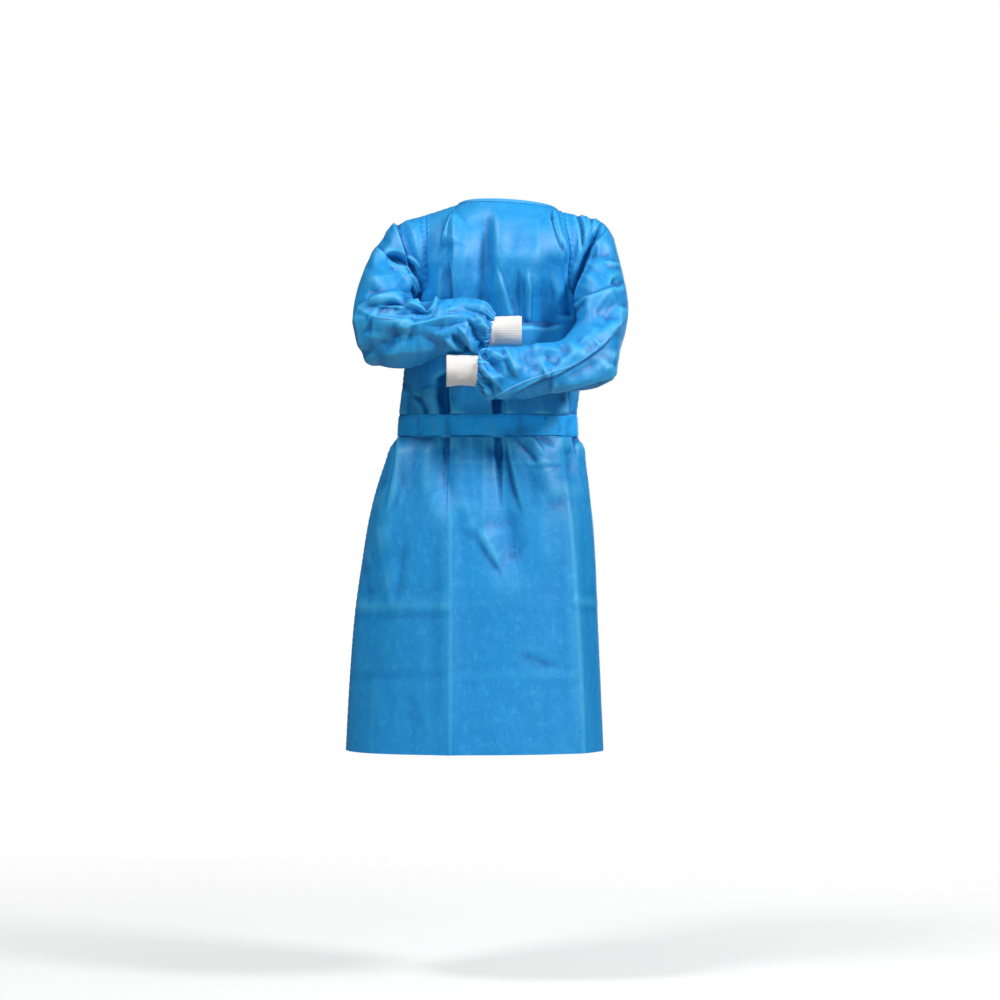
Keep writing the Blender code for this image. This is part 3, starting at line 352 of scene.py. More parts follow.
SLEEVE_LEFT_CREASES = table(
    "x_top z_top x_low z_low bow near far depth point flare fade_top fade_low",
    (0.142, 0.002, 0.134, -0.171, 0.0227, 0.0045, 0.0103, -0.0120, 0.9, 0.0, 0.15, 0.25),
    (0.152, -0.002, 0.146, -0.159, 0.0185, 0.0124, 0.0049, 0.0083, 1.0, 0.0, 0.15, 0.30),
    (0.202, -0.027, 0.122, -0.241, -0.0103, 0.0049, 0.0070, -0.0210, 1.0, 0.0, 0.15, 0.12),
    (0.214, -0.043, 0.136, -0.237, -0.0103, 0.0049, 0.0247, 0.0105, 1.0, 0.0, 0.20, 0.30),
    (0.190, -0.019, 0.154, -0.126, -0.0062, 0.0165, 0.0045, 0.0075, 1.0, 0.0, 0.15, 0.35),
    (0.173, -0.006, 0.169, -0.093, 0.0082, 0.0041, 0.0062, -0.0075, 0.9, 0.0, 0.15, 0.35),
    (0.163, -0.109, 0.225, -0.095, 0.0000, 0.0103, 0.0103, -0.0060, 0.6, 0.0, 0.35, 0.35),
    (0.200, -0.113, 0.241, -0.122, 0.0000, 0.0045, 0.0045, 0.0045, 1.0, 0.0, 0.35, 0.35),
    (0.220, -0.142, 0.245, -0.167, 0.0000, 0.0103, 0.0082, -0.0090, 0.8, 0.0, 0.35, 0.35),
    (0.124, -0.220, 0.247, -0.159, 0.0041, 0.0185, 0.0041, 0.0075, 1.0, 0.0, 0.20, 0.30),
    (0.179, -0.204, 0.233, -0.237, 0.0000, 0.0185, 0.0185, -0.0075, 0.6, 0.0, 0.35, 0.35),
    (0.130, -0.229, 0.175, -0.192, 0.0000, 0.0062, 0.0103, -0.0075, 0.8, 0.0, 0.35, 0.35),
    (0.187, -0.134, 0.163, -0.183, 0.0000, 0.0103, 0.0124, 0.0053, 0.8, 0.0, 0.35, 0.35),
    (0.237, -0.192, 0.225, -0.274, 0.0000, 0.0103, 0.0103, 0.0053, 0.8, 0.0, 0.35, 0.35),
    (0.200, -0.245, 0.150, -0.286, 0.0000, 0.0124, 0.0124, 0.0060, 0.8, 0.0, 0.35, 0.35),
    (0.253, -0.204, 0.192, -0.295, 0.0021, 0.0144, 0.0033, 0.0075, 1.0, 0.0, 0.15, 0.10),
    (0.200, -0.284, 0.080, -0.350, 0.0062, 0.0144, 0.0033, 0.0083, 1.0, 0.0, 0.08, 0.08),
    (0.097, -0.340, -0.060, -0.402, 0.0021, 0.0144, 0.0033, 0.0083, 1.0, 0.0, 0.08, 0.08),
    (0.233, -0.286, 0.204, -0.348, 0.0000, 0.0124, 0.0082, 0.0060, 0.9, 0.0, 0.35, 0.35),
    (0.231, -0.336, 0.093, -0.375, 0.0041, 0.0247, 0.0033, 0.0158, 1.0, 0.0, 0.20, 0.12),
    (0.113, -0.369, -0.023, -0.393, 0.0021, 0.0185, 0.0033, 0.0112, 1.0, 0.0, 0.12, 0.20),
    (0.220, -0.352, 0.097, -0.383, 0.0000, 0.0037, 0.0103, -0.0150, 1.0, 0.0, 0.20, 0.25),
    (0.200, -0.315, 0.117, -0.354, 0.0000, 0.0082, 0.0082, -0.0045, 0.7, 0.0, 0.35, 0.35),
    (0.233, -0.319, 0.200, -0.365, 0.0000, 0.0124, 0.0124, 0.0075, 1.0, 0.0, 0.45, 0.45),
    (0.025, -0.290, 0.076, -0.348, 0.0000, 0.0144, 0.0124, -0.0090, 0.7, 0.0, 0.35, 0.35),
    (-0.004, -0.282, 0.029, -0.356, 0.0000, 0.0062, 0.0144, 0.0097, 1.0, 0.0, 0.35, 0.35),
    (0.043, -0.286, 0.122, -0.299, 0.0000, 0.0103, 0.0103, 0.0060, 0.8, 0.0, 0.35, 0.35),
    (0.076, -0.301, 0.117, -0.332, 0.0000, 0.0103, 0.0103, -0.0060, 0.8, 0.0, 0.35, 0.35),
    (0.122, -0.274, 0.171, -0.315, 0.0000, 0.0124, 0.0124, 0.0053, 0.8, 0.0, 0.35, 0.35),
    (-0.066, -0.301, -0.033, -0.363, 0.0000, 0.0062, 0.0062, 0.0105, 1.0, 0.2, 0.20, 0.40),
    (-0.056, -0.295, 0.002, -0.352, 0.0000, 0.0062, 0.0082, -0.0120, 0.8, 0.3, 0.20, 0.40),
    (-0.043, -0.293, 0.008, -0.317, 0.0000, 0.0062, 0.0062, 0.0075, 1.0, 0.2, 0.20, 0.40),
    (-0.064, -0.328, -0.016, -0.393, 0.0000, 0.0054, 0.0062, -0.0135, 0.8, 0.2, 0.20, 0.40),
    (-0.064, -0.315, -0.002, -0.377, 0.0000, 0.0049, 0.0062, 0.0075, 1.0, 0.2, 0.20, 0.40),
    (-0.068, -0.346, -0.037, -0.406, 0.0000, 0.0054, 0.0054, -0.0105, 0.8, 0.2, 0.20, 0.40),
    (-0.076, -0.352, -0.058, -0.402, 0.0000, 0.0054, 0.0054, 0.0090, 1.0, 0.2, 0.20, 0.40),
    (-0.082, -0.361, -0.076, -0.402, 0.0000, 0.0045, 0.0045, -0.0090, 0.8, 0.2, 0.20, 0.40),
)
BACK_CREASES = table(
    "x_top z_top x_low z_low bow near far depth point flare fade_top fade_low",
    (-0.103, -0.019, -0.113, -0.253, 0.0000, 0.0165, 0.0144, -0.0075, 0.5, 0.0, 0.35, 0.35),
    (-0.056, -0.031, -0.047, -0.398, 0.0000, 0.0103, 0.0185, 0.0060, 0.7, 0.0, 0.35, 0.35),
    (0.023, -0.016, 0.031, -0.192, 0.0000, 0.0165, 0.0165, -0.0067, 0.4, 0.2, 0.35, 0.35),
    (0.072, -0.031, 0.056, -0.377, 0.0000, 0.0185, 0.0124, 0.0060, 0.7, 0.0, 0.35, 0.35),
    (-0.155, -0.089, -0.122, -0.253, 0.0062, 0.0082, 0.0144, 0.0075, 0.8, 0.0, 0.35, 0.35),
    (0.117, -0.113, 0.089, -0.284, -0.0062, 0.0144, 0.0082, 0.0075, 0.8, 0.0, 0.35, 0.35),
    (-0.175, -0.253, -0.072, -0.295, 0.0041, 0.0124, 0.0124, -0.0045, 0.5, 0.0, 0.35, 0.35),
    (0.113, -0.274, 0.000, -0.319, 0.0041, 0.0124, 0.0124, -0.0045, 0.5, 0.0, 0.35, 0.35),
    (-0.144, -0.328, -0.140, -0.604, 0.0000, 0.0082, 0.0062, -0.0150, 0.8, 0.0, 0.30, 0.60),
    (-0.080, -0.319, -0.084, -0.686, 0.0000, 0.0062, 0.0082, -0.0150, 0.8, 0.2, 0.20, 0.65),
    (0.039, -0.328, 0.047, -0.665, 0.0000, 0.0062, 0.0082, -0.0150, 0.8, 0.2, 0.25, 0.65),
    (0.099, -0.315, 0.105, -0.583, 0.0000, 0.0062, 0.0082, -0.0135, 0.8, 0.0, 0.30, 0.60),
    (-0.113, -0.340, -0.113, -0.447, 0.0000, 0.0144, 0.0144, 0.0060, 0.9, 0.0, 0.40, 0.10),
    (0.070, -0.340, 0.070, -0.447, 0.0000, 0.0144, 0.0144, 0.0060, 0.9, 0.0, 0.40, 0.10),
    (-0.175, -0.447, -0.192, -0.604, 0.0000, 0.0082, 0.0082, -0.0060, 0.8, 0.4, 0.10, 0.60),
    (-0.052, -0.447, -0.056, -0.645, 0.0000, 0.0062, 0.0103, -0.0060, 0.8, 0.5, 0.10, 0.60),
    (0.006, -0.447, 0.010, -0.624, 0.0000, 0.0082, 0.0082, -0.0060, 0.8, 0.5, 0.10, 0.60),
    (0.126, -0.447, 0.142, -0.562, 0.0000, 0.0062, 0.0062, -0.0050, 0.8, 0.4, 0.10, 0.60),
    (-0.117, -0.447, -0.134, -0.727, 0.0000, 0.0124, 0.0124, 0.0050, 0.9, 0.4, 0.10, 0.50),
    (0.072, -0.447, 0.093, -0.686, 0.0000, 0.0124, 0.0144, 0.0050, 0.9, 0.4, 0.10, 0.50),
    (0.142, -0.472, 0.175, -0.604, 0.0000, 0.0082, 0.0082, 0.0040, 0.8, 0.2, 0.35, 0.35),
    (-0.208, -0.474, -0.245, -0.645, 0.0000, 0.0082, 0.0082, 0.0050, 0.9, 0.2, 0.35, 0.35),
    (-0.138, -0.447, -0.142, -1.428, 0.0000, 0.0824, 0.0906, 0.0080, 1.0, 0.0, 0.20, 0.20),
    (-0.138, -0.490, -0.142, -1.428, 0.0000, 0.0033, 0.0033, 0.0008, 1.0, 0.0, 0.10, 0.20),
    (0.117, -0.480, 0.146, -1.428, 0.0062, 0.0906, 0.0618, 0.0080, 1.0, 0.0, 0.20, 0.20),
    (0.117, -0.509, 0.146, -1.428, 0.0062, 0.0033, 0.0033, 0.0008, 1.0, 0.0, 0.10, 0.20),
    (-0.330, -0.824, 0.204, -0.818, 0.0000, 0.0124, 0.0165, 0.0020, 1.0, 0.0, 0.35, 0.35),
    (-0.319, -0.966, 0.196, -0.962, 0.0000, 0.0103, 0.0124, -0.0010, 0.8, 0.0, 0.35, 0.35),
    (-0.134, -0.525, 0.126, -0.529, 0.0000, 0.0082, 0.0062, 0.0012, 0.9, 0.0, 0.35, 0.35),
    (-0.249, -0.810, -0.262, -1.131, 0.0000, 0.0206, 0.0185, 0.0030, 0.4, 0.3, 0.35, 0.35),
    (0.002, -0.645, 0.010, -0.892, 0.0000, 0.0185, 0.0185, 0.0030, 0.4, 0.0, 0.35, 0.35),
)
SLEEVE_RIGHT_BACK_CREASES = table(
    "x_top z_top x_low z_low bow near far depth point flare fade_top fade_low",
    (-0.225, -0.031, -0.167, -0.171, 0.0082, 0.0144, 0.0062, -0.0105, 0.7, 0.0, 0.35, 0.35),
    (-0.212, -0.043, -0.179, -0.150, 0.0082, 0.0082, 0.0144, 0.0075, 0.8, 0.0, 0.35, 0.35),
    (-0.258, -0.093, -0.175, -0.163, -0.0062, 0.0103, 0.0103, -0.0120, 0.5, 0.0, 0.35, 0.35),
    (-0.270, -0.113, -0.187, -0.192, -0.0062, 0.0144, 0.0062, 0.0090, 0.9, 0.0, 0.35, 0.35),
    (-0.295, -0.171, -0.208, -0.216, 0.0000, 0.0124, 0.0124, -0.0090, 0.5, 0.0, 0.35, 0.35),
    (-0.299, -0.192, -0.225, -0.249, 0.0000, 0.0144, 0.0062, 0.0090, 0.9, 0.0, 0.35, 0.35),
    (-0.290, -0.237, -0.216, -0.266, 0.0041, 0.0103, 0.0103, -0.0060, 0.4, 0.0, 0.35, 0.35),
    (-0.274, -0.274, -0.134, -0.270, 0.0041, 0.0144, 0.0082, 0.0060, 0.8, 0.0, 0.35, 0.35),
    (-0.196, -0.243, -0.072, -0.237, 0.0041, 0.0103, 0.0103, -0.0060, 0.4, 0.0, 0.35, 0.35),
    (-0.109, -0.253, -0.043, -0.245, 0.0000, 0.0082, 0.0082, 0.0060, 0.7, 0.0, 0.35, 0.35),
)
SLEEVE_LEFT_BACK_CREASES = table(
    "x_top z_top x_low z_low bow near far depth point flare fade_top fade_low",
    (0.171, -0.031, 0.126, -0.171, -0.0082, 0.0062, 0.0144, -0.0105, 0.7, 0.0, 0.35, 0.35),
    (0.159, -0.043, 0.134, -0.150, -0.0082, 0.0144, 0.0082, 0.0075, 0.8, 0.0, 0.35, 0.35),
    (0.220, -0.089, 0.138, -0.175, 0.0062, 0.0103, 0.0103, -0.0120, 0.5, 0.0, 0.35, 0.35),
    (0.233, -0.117, 0.159, -0.216, 0.0062, 0.0062, 0.0144, 0.0090, 0.9, 0.0, 0.35, 0.35),
    (0.241, -0.192, 0.175, -0.253, 0.0000, 0.0124, 0.0124, -0.0090, 0.5, 0.0, 0.35, 0.35),
    (0.233, -0.237, 0.187, -0.307, 0.0000, 0.0062, 0.0144, 0.0090, 0.9, 0.0, 0.35, 0.35),
    (0.208, -0.299, 0.113, -0.328, 0.0041, 0.0103, 0.0103, -0.0060, 0.4, 0.0, 0.35, 0.35),
    (0.196, -0.344, 0.052, -0.356, 0.0041, 0.0144, 0.0082, 0.0060, 0.8, 0.0, 0.35, 0.35),
    (0.113, -0.319, -0.010, -0.332, 0.0041, 0.0103, 0.0103, -0.0060, 0.4, 0.0, 0.35, 0.35),
    (0.031, -0.348, -0.043, -0.344, 0.0000, 0.0082, 0.0082, 0.0060, 0.7, 0.0, 0.35, 0.35),
)

# Colours of the cloth, tape, thread and knit
CLOTH_FACE = (0.000, 0.252, 0.620)
# Painted shade: blended in where the cloth lies in the trough of a fold, and on inner faces
CLOTH_PAINTED_SHADE = (0.000, 0.105, 0.345)
# Painted highlight: blended in on the ridges of folds and in the mottled patches of painted sheen
CLOTH_PAINTED_HIGHLIGHT = (0.040, 0.385, 0.710)
# The belt's face is a brighter blue than the gown cloth: partly its own colour, partly painted light that makes
# up for the shade the sleeves cast on it
BELT_FACE_WITH_PAINTED_LIGHT = (0.000, 0.420, 1.000)
TAPE_FACE = (0.035, 0.320, 0.700)
THREAD = (0.150, 0.450, 0.780)
KNIT_FACE = (0.820, 0.795, 0.765)

# Studio: each light's name, place, aim, size and power, and whether it shows in the cloth's sheen
ROOM_LIGHT = 0.15
LIGHTS = (
    ("key", (3.1, -2.2, 2.1), (0.0, 0.0, -0.4), 1.0, 176.0, True),
    ("high", (-1.6, -2.0, 2.8), (-0.1, 0.0, -0.2), 0.8, 112.0, True),
    ("front", (-0.4, -4.6, -0.5), (0.0, 0.0, -0.6), 1.4, 41.0, False),
    ("back", (0.8, 4.4, -0.2), (0.0, 0.0, -0.6), 2.2, 80.0, True),
)

# Creases pressed into the belt, its end seam and the marks of its weld
BELT_CREASES = table(
    "x_top z_top x_low z_low bow near far depth point flare fade_top fade_low",
    (0.0803, -0.430, 0.0865, -0.441, 0, 0.0030, 0.0030, -0.0007, 0.5, 0.0, 0.25, 0.25),
    (0.0906, -0.432, 0.1112, -0.459, 0, 0.0040, 0.0022, 0.0010, 0.9, 0.0, 0.25, 0.25),
    (0.1010, -0.430, 0.1150, -0.470, 0, 0.0050, 0.0050, -0.0006, 0.4, 0.0, 0.25, 0.25),
    (-0.1772, -0.425, -0.1772, -0.480, 0, 0.0024, 0.0018, -0.0005, 0.7, 0.0, 0.25, 0.25),
    (-0.1450, -0.425, -0.1430, -0.480, 0, 0.0080, 0.0080, 0.0006, 0.4, 0.0, 0.25, 0.25),
    (-0.1180, -0.425, -0.1190, -0.480, 0, 0.0060, 0.0060, -0.0007, 0.4, 0.0, 0.25, 0.25),
    (-0.0300, -0.425, -0.0250, -0.480, 0, 0.0090, 0.0060, 0.0005, 0.5, 0.0, 0.25, 0.25),
    (0.0300, -0.425, 0.0340, -0.480, 0, 0.0070, 0.0090, -0.0004, 0.4, 0.0, 0.25, 0.25),
    (0.1300, -0.425, 0.1290, -0.480, 0, 0.0060, 0.0060, -0.0006, 0.4, 0.0, 0.25, 0.25),
)

# Overlocked seams of the forearms, as the camera sees them
SEAM_SLEEVE_LEFT = np.array((
    (0.2410, -0.2369), (0.2330, -0.2510), (0.1998, -0.2823), (0.1503, -0.3214),
    (0.0865, -0.3441), (0.0206, -0.3688), (-0.0247, -0.3915), (-0.0420, -0.3950)))
SEAM_SLEEVE_RIGHT = np.array((
    (-0.2710, -0.2252), (-0.2616, -0.2276), (-0.2410, -0.2297), (-0.2204, -0.2307)))



def smooth(keys, values, at):
    """Cubic curve through values at rising keys, with slopes from the neighbours:
    v0 (1 + 2f)(1 - f)^2 + s0 w f (1 - f)^2 + v1 f^2 (3 - 2f) - s1 w f^2 (1 - f)."""
    slopes = np.gradient(values, keys, axis=0)
    span = np.clip(np.searchsorted(keys, at, side="right") - 1, 0, len(keys) - 2)
    width = keys[span + 1] - keys[span]
    shape = (-1,) + (1,) * (values.ndim - 1)
    f = ((at - keys[span]) / width).reshape(shape)
    width = width.reshape(shape)
    start = values[span] * (1 + 2 * f) * (1 - f) ** 2 + slopes[span] * width * f * (1 - f) ** 2
    end = values[span + 1] * f ** 2 * (3 - 2 * f) - slopes[span + 1] * width * f ** 2 * (1 - f)
    return start + end


def ease(value):
    """Rises softly from 0 to 1: v^2 (3 - 2v)."""
    value = np.clip(value, 0.0, 1.0)
    return value * value * (3 - 2 * value)


def unit(vectors):
    """Vectors brought to a length of 1."""
    return vectors / np.maximum(np.linalg.norm(vectors, axis=-1, keepdims=True), 1e-12)


def normals(grid, closed, middle):
    """Directions square to a grid: the cross product of its steps along and across."""
    along = np.gradient(grid, axis=0)
    if closed:
        across = np.roll(grid, -1, axis=1) - np.roll(grid, 1, axis=1)
    else:
        across = np.gradient(grid, axis=1)
    found = unit(np.cross(along, across))
    outward = np.sum(found * (grid - middle))
    return found if outward > 0 else -found


def fold_heights(folds, x, z):
    """The solids' folds with softer ends: depth sqrt(4t(1 - t)) ease(t / 0.25) ease((1 - t) / 0.25)
    exp(-(across / width)^2), summed."""
    total = np.zeros_like(x)
    for row in range(len(folds["depth"])):
        start = np.array((folds["x_top"][row], folds["z_top"][row]))
        run = np.array((folds["x_low"][row], folds["z_low"][row])) - start
        length = np.hypot(*run)
        along = ((x - start[0]) * run[0] + (z - start[1]) * run[1]) / length ** 2
        across = ((x - start[0]) * run[1] - (z - start[1]) * run[0]) / length
        ends = np.sqrt(np.clip(4 * along * (1 - along), 0.0, 1.0))
        ends = ends * ease(along / 0.25) * ease((1 - along) / 0.25)
        total += folds["depth"][row] * ends * np.exp(-(across / folds["width"][row]) ** 2)
    return total


def seen(grid):
    """Places as the camera sees them, brought to the plane through the origin:
    (x - xc) / (1 + y / 7) + xc, and the same for z."""
    nearer = 1 + grid[..., 1] / -CAMERA_PLACE[1]
    x = (grid[..., 0] - CAMERA_PLACE[0]) / nearer + CAMERA_PLACE[0]
    z = (grid[..., 2] - CAMERA_PLACE[2]) / nearer + CAMERA_PLACE[2]
    return x, z


def crease_heights(creases, x, z):
    """Creases with flat sides and a crisp middle: depth f(t) s ln(1 + exp((1 - u) / s)), where
    u = (sqrt((across / w)^2 + r^2) - r) / 1.6, across is measured from a line bowed by
    4 bow t (1 - t), f fades both ends, and the width w narrows where f fades. point sets
    s and r: near 1 the middle and the feet are crisp, near 0 they are round."""
    total = np.zeros_like(x)
    for row in range(len(creases["depth"])):
        get = {name: column[row] for name, column in creases.items()}
        run = np.array((get["x_low"] - get["x_top"], get["z_low"] - get["z_top"]))
        length = np.hypot(*run)
        along = ((x - get["x_top"]) * run[0] + (z - get["z_top"]) * run[1]) / length ** 2
        across = (-(x - get["x_top"]) * run[1] + (z - get["z_top"]) * run[0]) / length
        t = np.clip(along, 0, 1)
        across = across - 4 * get["bow"] * t * (1 - t)
        ends = ease(along / get["fade_top"]) * ease((1 - along) / get["fade_low"])
        width = np.where(across < 0, get["near"], get["far"]) * (1 + get["flare"] * (2 * t - 1))
        width = width * (0.40 + 0.60 * ends)
        round_off = 0.03 + 0.9 * (1 - get["point"]) ** 2
        soft = 0.05 + 0.24 * (1 - get["point"])
        u = (np.sqrt((across / width) ** 2 + round_off ** 2) - round_off) / 1.6
        profile = soft * np.logaddexp(0.0, (1 - u) / soft) / (soft * np.logaddexp(0.0, 1 / soft))
        total += get["depth"] * ends * profile
    return total


def wrinkles(x, z, seed, count, lean, reach):
    """Small soft wrinkles from a seeded list: each is a short line with a bell across it,
    height cos-faded along it. lean is the mean direction in degrees from upright."""
    draw = np.random.default_rng(seed)
    low_x, high_x, low_z, high_z = reach
    total = np.zeros_like(x)
    for _ in range(count):
        place = draw.uniform((low_x, low_z), (high_x, high_z))
        turn = np.radians(lean + draw.normal(0, 26))
        length = draw.uniform(0.020, 0.070)
        width = draw.uniform(0.0030, 0.0075)
        height = draw.uniform(0.0004, 0.0012) * draw.choice((-1, 1))
        along = ((x - place[0]) * np.sin(turn) + (z - place[1]) * np.cos(turn)) / length
        across = ((x - place[0]) * np.cos(turn) - (z - place[1]) * np.sin(turn)) / width
        total += height * ease(1 - np.abs(along)) * np.exp(-np.abs(across) ** 1.2)
    return total


def ring_points(heights, angles):
    """Body sections: a squared oval at each height, reach (|sin/w|^q + |cos/d|^q)^(-1/q)."""
    turn = np.radians(angles)[None, :]
    centre, half_width, front, back = (
        smooth(BODY["height"], BODY[name], heights)[:, None]
        for name in ("centre", "half_width", "front", "back"))
    depth = np.where(np.cos(turn) > 0, front, back)
    across = (np.abs(np.sin(turn)) / half_width) ** SQUARENESS
    ahead = (np.abs(np.cos(turn)) / depth) ** SQUARENESS
    reach = (across + ahead) ** (-1 / SQUARENESS)
    level = heights[:, None] + 0 * reach
    return np.stack((centre + reach * np.sin(turn), -reach * np.cos(turn), level), axis=-1)


def armhole(side, turns):
    """Armhole seam: an upright oval with a soft point at the armpit, X read from the side's table:
    y = -depth sin a, z = armpit + h (1 - cos a + point sin a cos^2(a / 2))."""
    is_right = side == "right"
    rows = ARMHOLE_RIGHT if is_right else ARMHOLE_LEFT
    top = SHOULDER_RIGHT_HEIGHT if is_right else SHOULDER_LEFT_HEIGHT
    wrapped = np.where(turns > 180, 360 - turns, turns)
    is_front = turns <= 180
    x = np.where(is_front, smooth(rows["turn"], rows["front"], wrapped),
                 smooth(rows["turn"], rows["back"], wrapped))
    swing = np.sin(np.radians(wrapped))
    y = np.where(is_front, -ARMHOLE_FRONT, ARMHOLE_BACK) * swing
    half_height = (top - ARMPIT_HEIGHT) / 2
    point = ARMPIT_POINT * swing * np.cos(np.radians(wrapped / 2)) ** 2
    z = ARMPIT_HEIGHT + half_height * (1 - np.cos(np.radians(wrapped)) + point)
    return np.stack((x, y, z), axis=-1)


def neck_points(turns):
    """Neck opening: an oval through both shoulder ends, -90 at the right one and 90 at the left."""
    turn = np.radians(turns)
    middle = (NECK_RIGHT + NECK_LEFT) / 2
    half = (NECK_LEFT - NECK_RIGHT) / 2
    ahead = np.cos(turn)
    depth = np.where(ahead > 0, NECK_FRONT, NECK_BACK)
    rise = np.where(ahead > 0, NECK_FRONT_RISE, NECK_BACK_RISE)
    x = middle[0] + half[0] * np.sin(turn)
    z = middle[2] + half[2] * np.sin(turn) + rise * np.abs(ahead)
    return np.stack((x, -depth * ahead, z), axis=-1)


def top_line(turns, is_front):
    """Top edge of the body part: straight shoulders on both sides of the oval neck opening."""
    share = (turns - NECK_START) / (NECK_STOP - NECK_START)
    neck = neck_points(-90 + 180 * share if is_front else -90 - 180 * share)
    ends = [armhole(side, np.array([180.0]))[0] for side in ("right", "left")]
    right = ends[0] + (NECK_RIGHT - ends[0]) * (turns / NECK_START)[:, None]
    left_share = (turns - NECK_STOP) / (180 - NECK_STOP)
    left = NECK_LEFT + (ends[1] - NECK_LEFT) * left_share[:, None]
    line = np.where((turns < NECK_START)[:, None], right, neck)
    return np.where((turns > NECK_STOP)[:, None], left, line)


def body_form(turns, is_front):
    """Form of the front or back half, as the solids have it: rings up to the armpits, then columns
    that climb arcs and turn over, those near an armhole drawn onto its seam by near^hold. turns run
    from the right side seam, 0, to the left one, 180. Also gives each row's climb, 0 to 1."""
    heights = np.concatenate(
        [np.linspace(low, high, steps, endpoint=False) for low, high, steps in LOWER_ROWS]
        + [[ARMPIT_HEIGHT]])
    angles = turns - SIDE_ANGLE if is_front else -SIDE_ANGLE - turns
    lower = ring_points(heights, angles)
    share = np.linspace(0, 1, UPPER_STEPS + 1)[:, None]
    from_neck = np.abs(turns - (NECK_START + NECK_STOP) / 2) / (65.0 if is_front else 67.5)
    turned = TURNED_SHOULDER + (TURNED_NECK - TURNED_SHOULDER) * ease(1 - from_neck)
    angle = np.radians(turned)[None, :]
    rise = np.sin(share * angle) / np.sin(angle)
    lean = (1 - np.cos(share * angle)) / (1 - np.cos(angle))
    upper = lower[-1] + (top_line(turns, is_front) - lower[-1]) * np.stack((lean, lean, rise), axis=-1)
    hold = HOLD_AT_SHOULDER + (HOLD_AT_ARMPIT - HOLD_AT_SHOULDER) * (1 - share) ** 2
    seam_turns = np.linspace(0 if is_front else 360, 180, UPPER_STEPS + 1)
    edges = upper[:, (0, -1)].copy()
    drawn = upper.copy()
    for at, near, side in ((0, 1 - turns / 180, "right"), (-1, turns / 180, "left")):
        shift = armhole(side, seam_turns) - edges[:, at]
        drawn += (near[None, :] ** hold)[..., None] * shift[:, None, :]
    grid = np.concatenate((lower, drawn[1:]))
    climb = np.concatenate((np.zeros(len(heights)), share[1:, 0]))
    facing = np.clip(3 * np.abs(np.cos(np.radians(angles))), 0, 1)[None, :]
    below_top = np.clip(4 * (1 - climb), 0, 1)[:, None]
    folds = FRONT_FOLDS if is_front else BACK_FOLDS
    amount = fold_heights(folds, grid[..., 0], grid[..., 2]) * facing * below_top
    amount = amount * ease(from_belt(grid) / 0.035)
    return grid + normals(grid, False, BODY_MIDDLE) * amount[..., None], climb, angles


def from_belt(grid):
    """How far above or below the belt's edges each point is."""
    return np.abs(grid[..., 2] - BELT_CENTRE) - BELT_WIDTH / 2 - 0.003


def run_lengths(grid, axis):
    """Length run along a grid's rows or columns from their first point."""
    steps = np.linalg.norm(np.diff(grid, axis=axis), axis=-1)
    start = np.zeros_like(np.take(steps, [0], axis=axis))
    return np.cumsum(np.concatenate((start, steps), axis=axis), axis=axis)


def seam_ridge(away, run):
    """Cloth beside a seam: it swells a little next to the stitch line and puckers along it,
    1 mm (1 - exp(-(a / 3 mm)^2)) exp(-(a / 9 mm)^2) (1 + 0.5 cos(run / 2.3 mm))."""
    swell = (1 - np.exp(-(away / 0.003) ** 2)) * np.exp(-(away / 0.009) ** 2)
    return 0.0013 * swell * (1 + 0.5 * np.cos(run / 0.0023 + 2 * np.sin(run / 0.031)))


def blurred(values, closed, steps):
    """Values smoothed by taking the mean of neighbours a number of times."""
    for _ in range(steps):
        for axis in (0, 1):
            if axis == 1 and closed:
                low, high = np.roll(values, 1, axis=1), np.roll(values, -1, axis=1)
            else:
                first, last = np.take(values, [0], axis=axis), np.take(values, [-1], axis=axis)
                padded = np.concatenate((first, values, last), axis=axis)
                cut = [slice(None)] * values.ndim
                cut[axis] = slice(0, -2)
                low = padded[tuple(cut)]
                cut[axis] = slice(2, None)
                high = padded[tuple(cut)]
            values = (low + 2 * values + high) / 4
    return values


def lowest_near(values, closed):
    """Smallest value within two steps each way, so that an inner face stays inside its folds."""
    for axis in (0, 1):
        wrap = axis == 1 and closed
        pad = [(0, 0), (0, 0)]
        pad[axis] = (2, 2)
        padded = np.pad(values, pad, mode="wrap" if wrap else "edge")
        size = values.shape[axis]
        values = np.min([np.take(padded, range(k, k + size), axis=axis) for k in range(5)], axis=0)
    return values


def cells(index):
    """Four-sided faces of a grid of point numbers."""
    return np.stack((index[:-1, :-1], index[:-1, 1:], index[1:, 1:], index[1:, :-1]),
                    axis=-1).reshape(-1, 4)


def coarse_rim(outer, inner):
    """Triangles of a rim between an edge and one with half as many steps."""
    a, b, c = outer[:-2:2], outer[1:-1:2], outer[2::2]
    p, q = inner[:-1], inner[1:]
    return np.concatenate((np.stack((a, b, p), -1), np.stack((b, q, p), -1),
                           np.stack((b, c, q), -1)))


def even_rim(outer, inner):
    """Triangles of a rim between two edges with as many steps each."""
    return np.concatenate((np.stack((outer[:-1], outer[1:], inner[:-1]), -1),
                           np.stack((outer[1:], inner[1:], inner[:-1]), -1)))


def shell(outer, inner, closed):
    """Points and faces of a closed wall between two grids of points."""
    rows, columns = outer.shape[:2]
    front = np.arange(rows * columns).reshape(rows, columns)
    behind = rows * columns + np.arange(inner[..., 0].size).reshape(inner.shape[:2])
    rim = even_rim if inner.shape[:2] == outer.shape[:2] else coarse_rim
    if closed:
        front = np.hstack((front, front[:, :1]))
        behind = np.hstack((behind, behind[:, :1]))
    edges = [(front[0], behind[0]), (front[-1], behind[-1])]
    if not closed:
        edges += [(front[:, 0], behind[:, 0]), (front[:, -1], behind[:, -1])]
    points = np.concatenate((outer.reshape(-1, 3), inner.reshape(-1, 3)))
    faces = [cells(front), cells(behind)] + [rim(a, b) for a, b in edges]
    return points, faces


